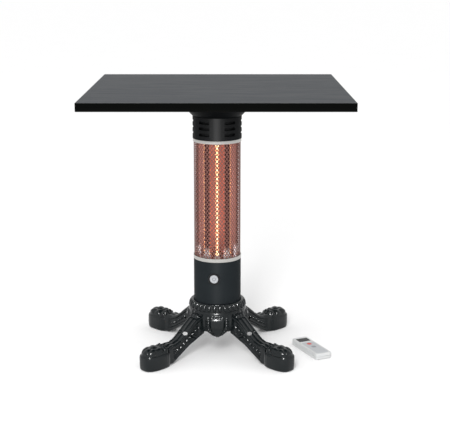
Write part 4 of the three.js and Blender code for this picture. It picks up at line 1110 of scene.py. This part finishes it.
EYE_CENTRE, EYE_SLOPE, EYE_HALF_WIDTH, EYE_HALF_HEIGHT = (129, 0, 71), 0.48, 7.5, 5.0
eyes = [tunnel(EYE_CENTRE, (1, way, EYE_SLOPE), EYE_HALF_WIDTH, EYE_HALF_HEIGHT) for way in (-1, 1)]
leg_scroll = scroll(centre_x=87.0, centre_z=111, radius=10.0, half_width=14.0)
leg_paw = paw(near=198.0, far=289.0, half_width=30.0, floor=1.5, band=42.0, top=66.0)
leg_shape = joined(with_cuts(strut(), *eyes), leg_scroll, leg_paw)
FIRST_LEG, LEG_TURN, GLIDE_RADIUS, GLIDE_THICKNESS = -45, 90, 15, 4
for number in range(1, 5):
    piece(f"cast_leg_{number}", turned_about_z(leg_shape, FIRST_LEG + LEG_TURN * (number - 1)), enamel,
          stands_for=[f"base_leg_{number}"], crease=50)
    low, high = corners(f"foot_glide_{number}")
    centre = (low + high) / 2
    glide = softened([(0, 0), (GLIDE_RADIUS, 0), (GLIDE_RADIUS, GLIDE_THICKNESS), (0, GLIDE_THICKNESS)],
                     [0, 1.5, 0.6, 0], closed=False)
    piece(f"glide_{number}", moved(lathe(glide, 48), (centre[0], centre[1], 0)), glide_nylon,
          stands_for=[f"foot_glide_{number}"])

# %% [markdown]
# ## Floor, light and camera
# The object stands on a plain pale floor under an even white sky, a weak wide sun and one large soft
# lamp in front. Even light makes glossy black look grey and flat. Two more lamps therefore add gloss
# alone: one reaches the casting, the other the painted tubes. The big lamp gives no gloss, since its
# mirror image on a round shell would be a white glare. The camera looks down from the front.

# %% Floor
FLOOR_X, FLOOR_Y = (-30000, 30000), (-9000, 60000)
floor_grid = np.array([[(x, y, 0) for y in FLOOR_Y] for x in FLOOR_X])
floor_mesh = bpy.data.meshes.new("studio_floor")
floor_points, floor_faces = surface(floor_grid)
floor_mesh.from_pydata((floor_points * MM).tolist(), [], floor_faces.tolist())
floor_finish = Finish("studio_paper", Roughness=0.9, Specular_IOR_Level=0.1)
paper = floor_finish.noise(3, detail=2)
floor_finish.set(Base_Color=floor_finish.mix(paper, (0.91, 0.91, 0.91), (0.93, 0.93, 0.93)))
floor_mesh.materials.append(floor_finish.material)
studio_floor = bpy.data.objects.new("studio_floor", floor_mesh)
bpy.context.scene.collection.objects.link(studio_floor)


# %% Lamps and sky
from mathutils import Vector


def softbox(name, place, aim, width, height, power):
    """An area lamp at a place, with its face turned to a point."""
    lamp = bpy.data.lights.new(name, "AREA")
    lamp.shape, lamp.size, lamp.size_y, lamp.energy = "RECTANGLE", width, height, power
    thing = bpy.data.objects.new(name, lamp)
    thing.location = place
    direction = Vector(aim) - Vector(place)
    thing.rotation_euler = direction.to_track_quat("-Z", "Y").to_euler()
    thing.visible_camera = False
    bpy.context.scene.collection.objects.link(thing)
    return thing


key = softbox("key_lamp", (-0.5, -2.9, 1.9), (0, 0, 0.45), 0.6, 1.4, 75)
key.visible_glossy = False
shine_above = softbox("shine_above", (-0.3, -2.9, 2.1), (0, 0, 0.3), 0.4, 0.7, 300)
shine_front = softbox("shine_front", (-0.15, -2.8, 0.35), (0, 0, 0.35), 0.5, 0.5, 460)
for lamp, finishes in ((shine_above, [enamel]), (shine_front, [black_steel, head_steel])):
    wanted = {finish.material.name for finish in finishes}
    lit = bpy.data.collections.new(lamp.name)
    for thing in bpy.data.objects:
        if thing.type == "MESH" and thing.data.materials and thing.data.materials[0]:
            if thing.data.materials[0].name in wanted:
                lit.objects.link(thing)
    lamp.visible_diffuse = False
    lamp.light_linking.receiver_collection = lit
sun = bpy.data.lights.new("even_light", "SUN")
sun.energy, sun.angle = 0.4, np.radians(60)
sun_thing = bpy.data.objects.new("even_light", sun)
sun_thing.rotation_euler = (np.radians(22), np.radians(-14), 0)
bpy.context.scene.collection.objects.link(sun_thing)
sky = bpy.data.worlds.new("studio_sky")
sky.use_nodes = True
air = sky.node_tree.nodes["Background"].inputs
air["Color"].default_value, air["Strength"].default_value = (1, 1, 1, 1), 0.97
bpy.context.scene.world = sky
bpy.context.scene.view_settings.view_transform = "Standard"

# %% Camera
CAMERA_PLACE, CAMERA_TILT, FOCAL_LENGTH = (0.022, -3.066, 1.109), 13.31, 88.3
lens = bpy.data.cameras.new("studio_camera")
lens.sensor_width, lens.lens = 36, FOCAL_LENGTH
camera = bpy.data.objects.new("studio_camera", lens)
camera.location = CAMERA_PLACE
camera.rotation_euler = (np.radians(90 - CAMERA_TILT), 0, 0)
print("camera at", CAMERA_PLACE, "metres, tilted down", CAMERA_TILT, "degrees")
bpy.context.scene.collection.objects.link(camera)
bpy.context.scene.camera = camera

# %% [markdown]
# ## End

# %% End
import json
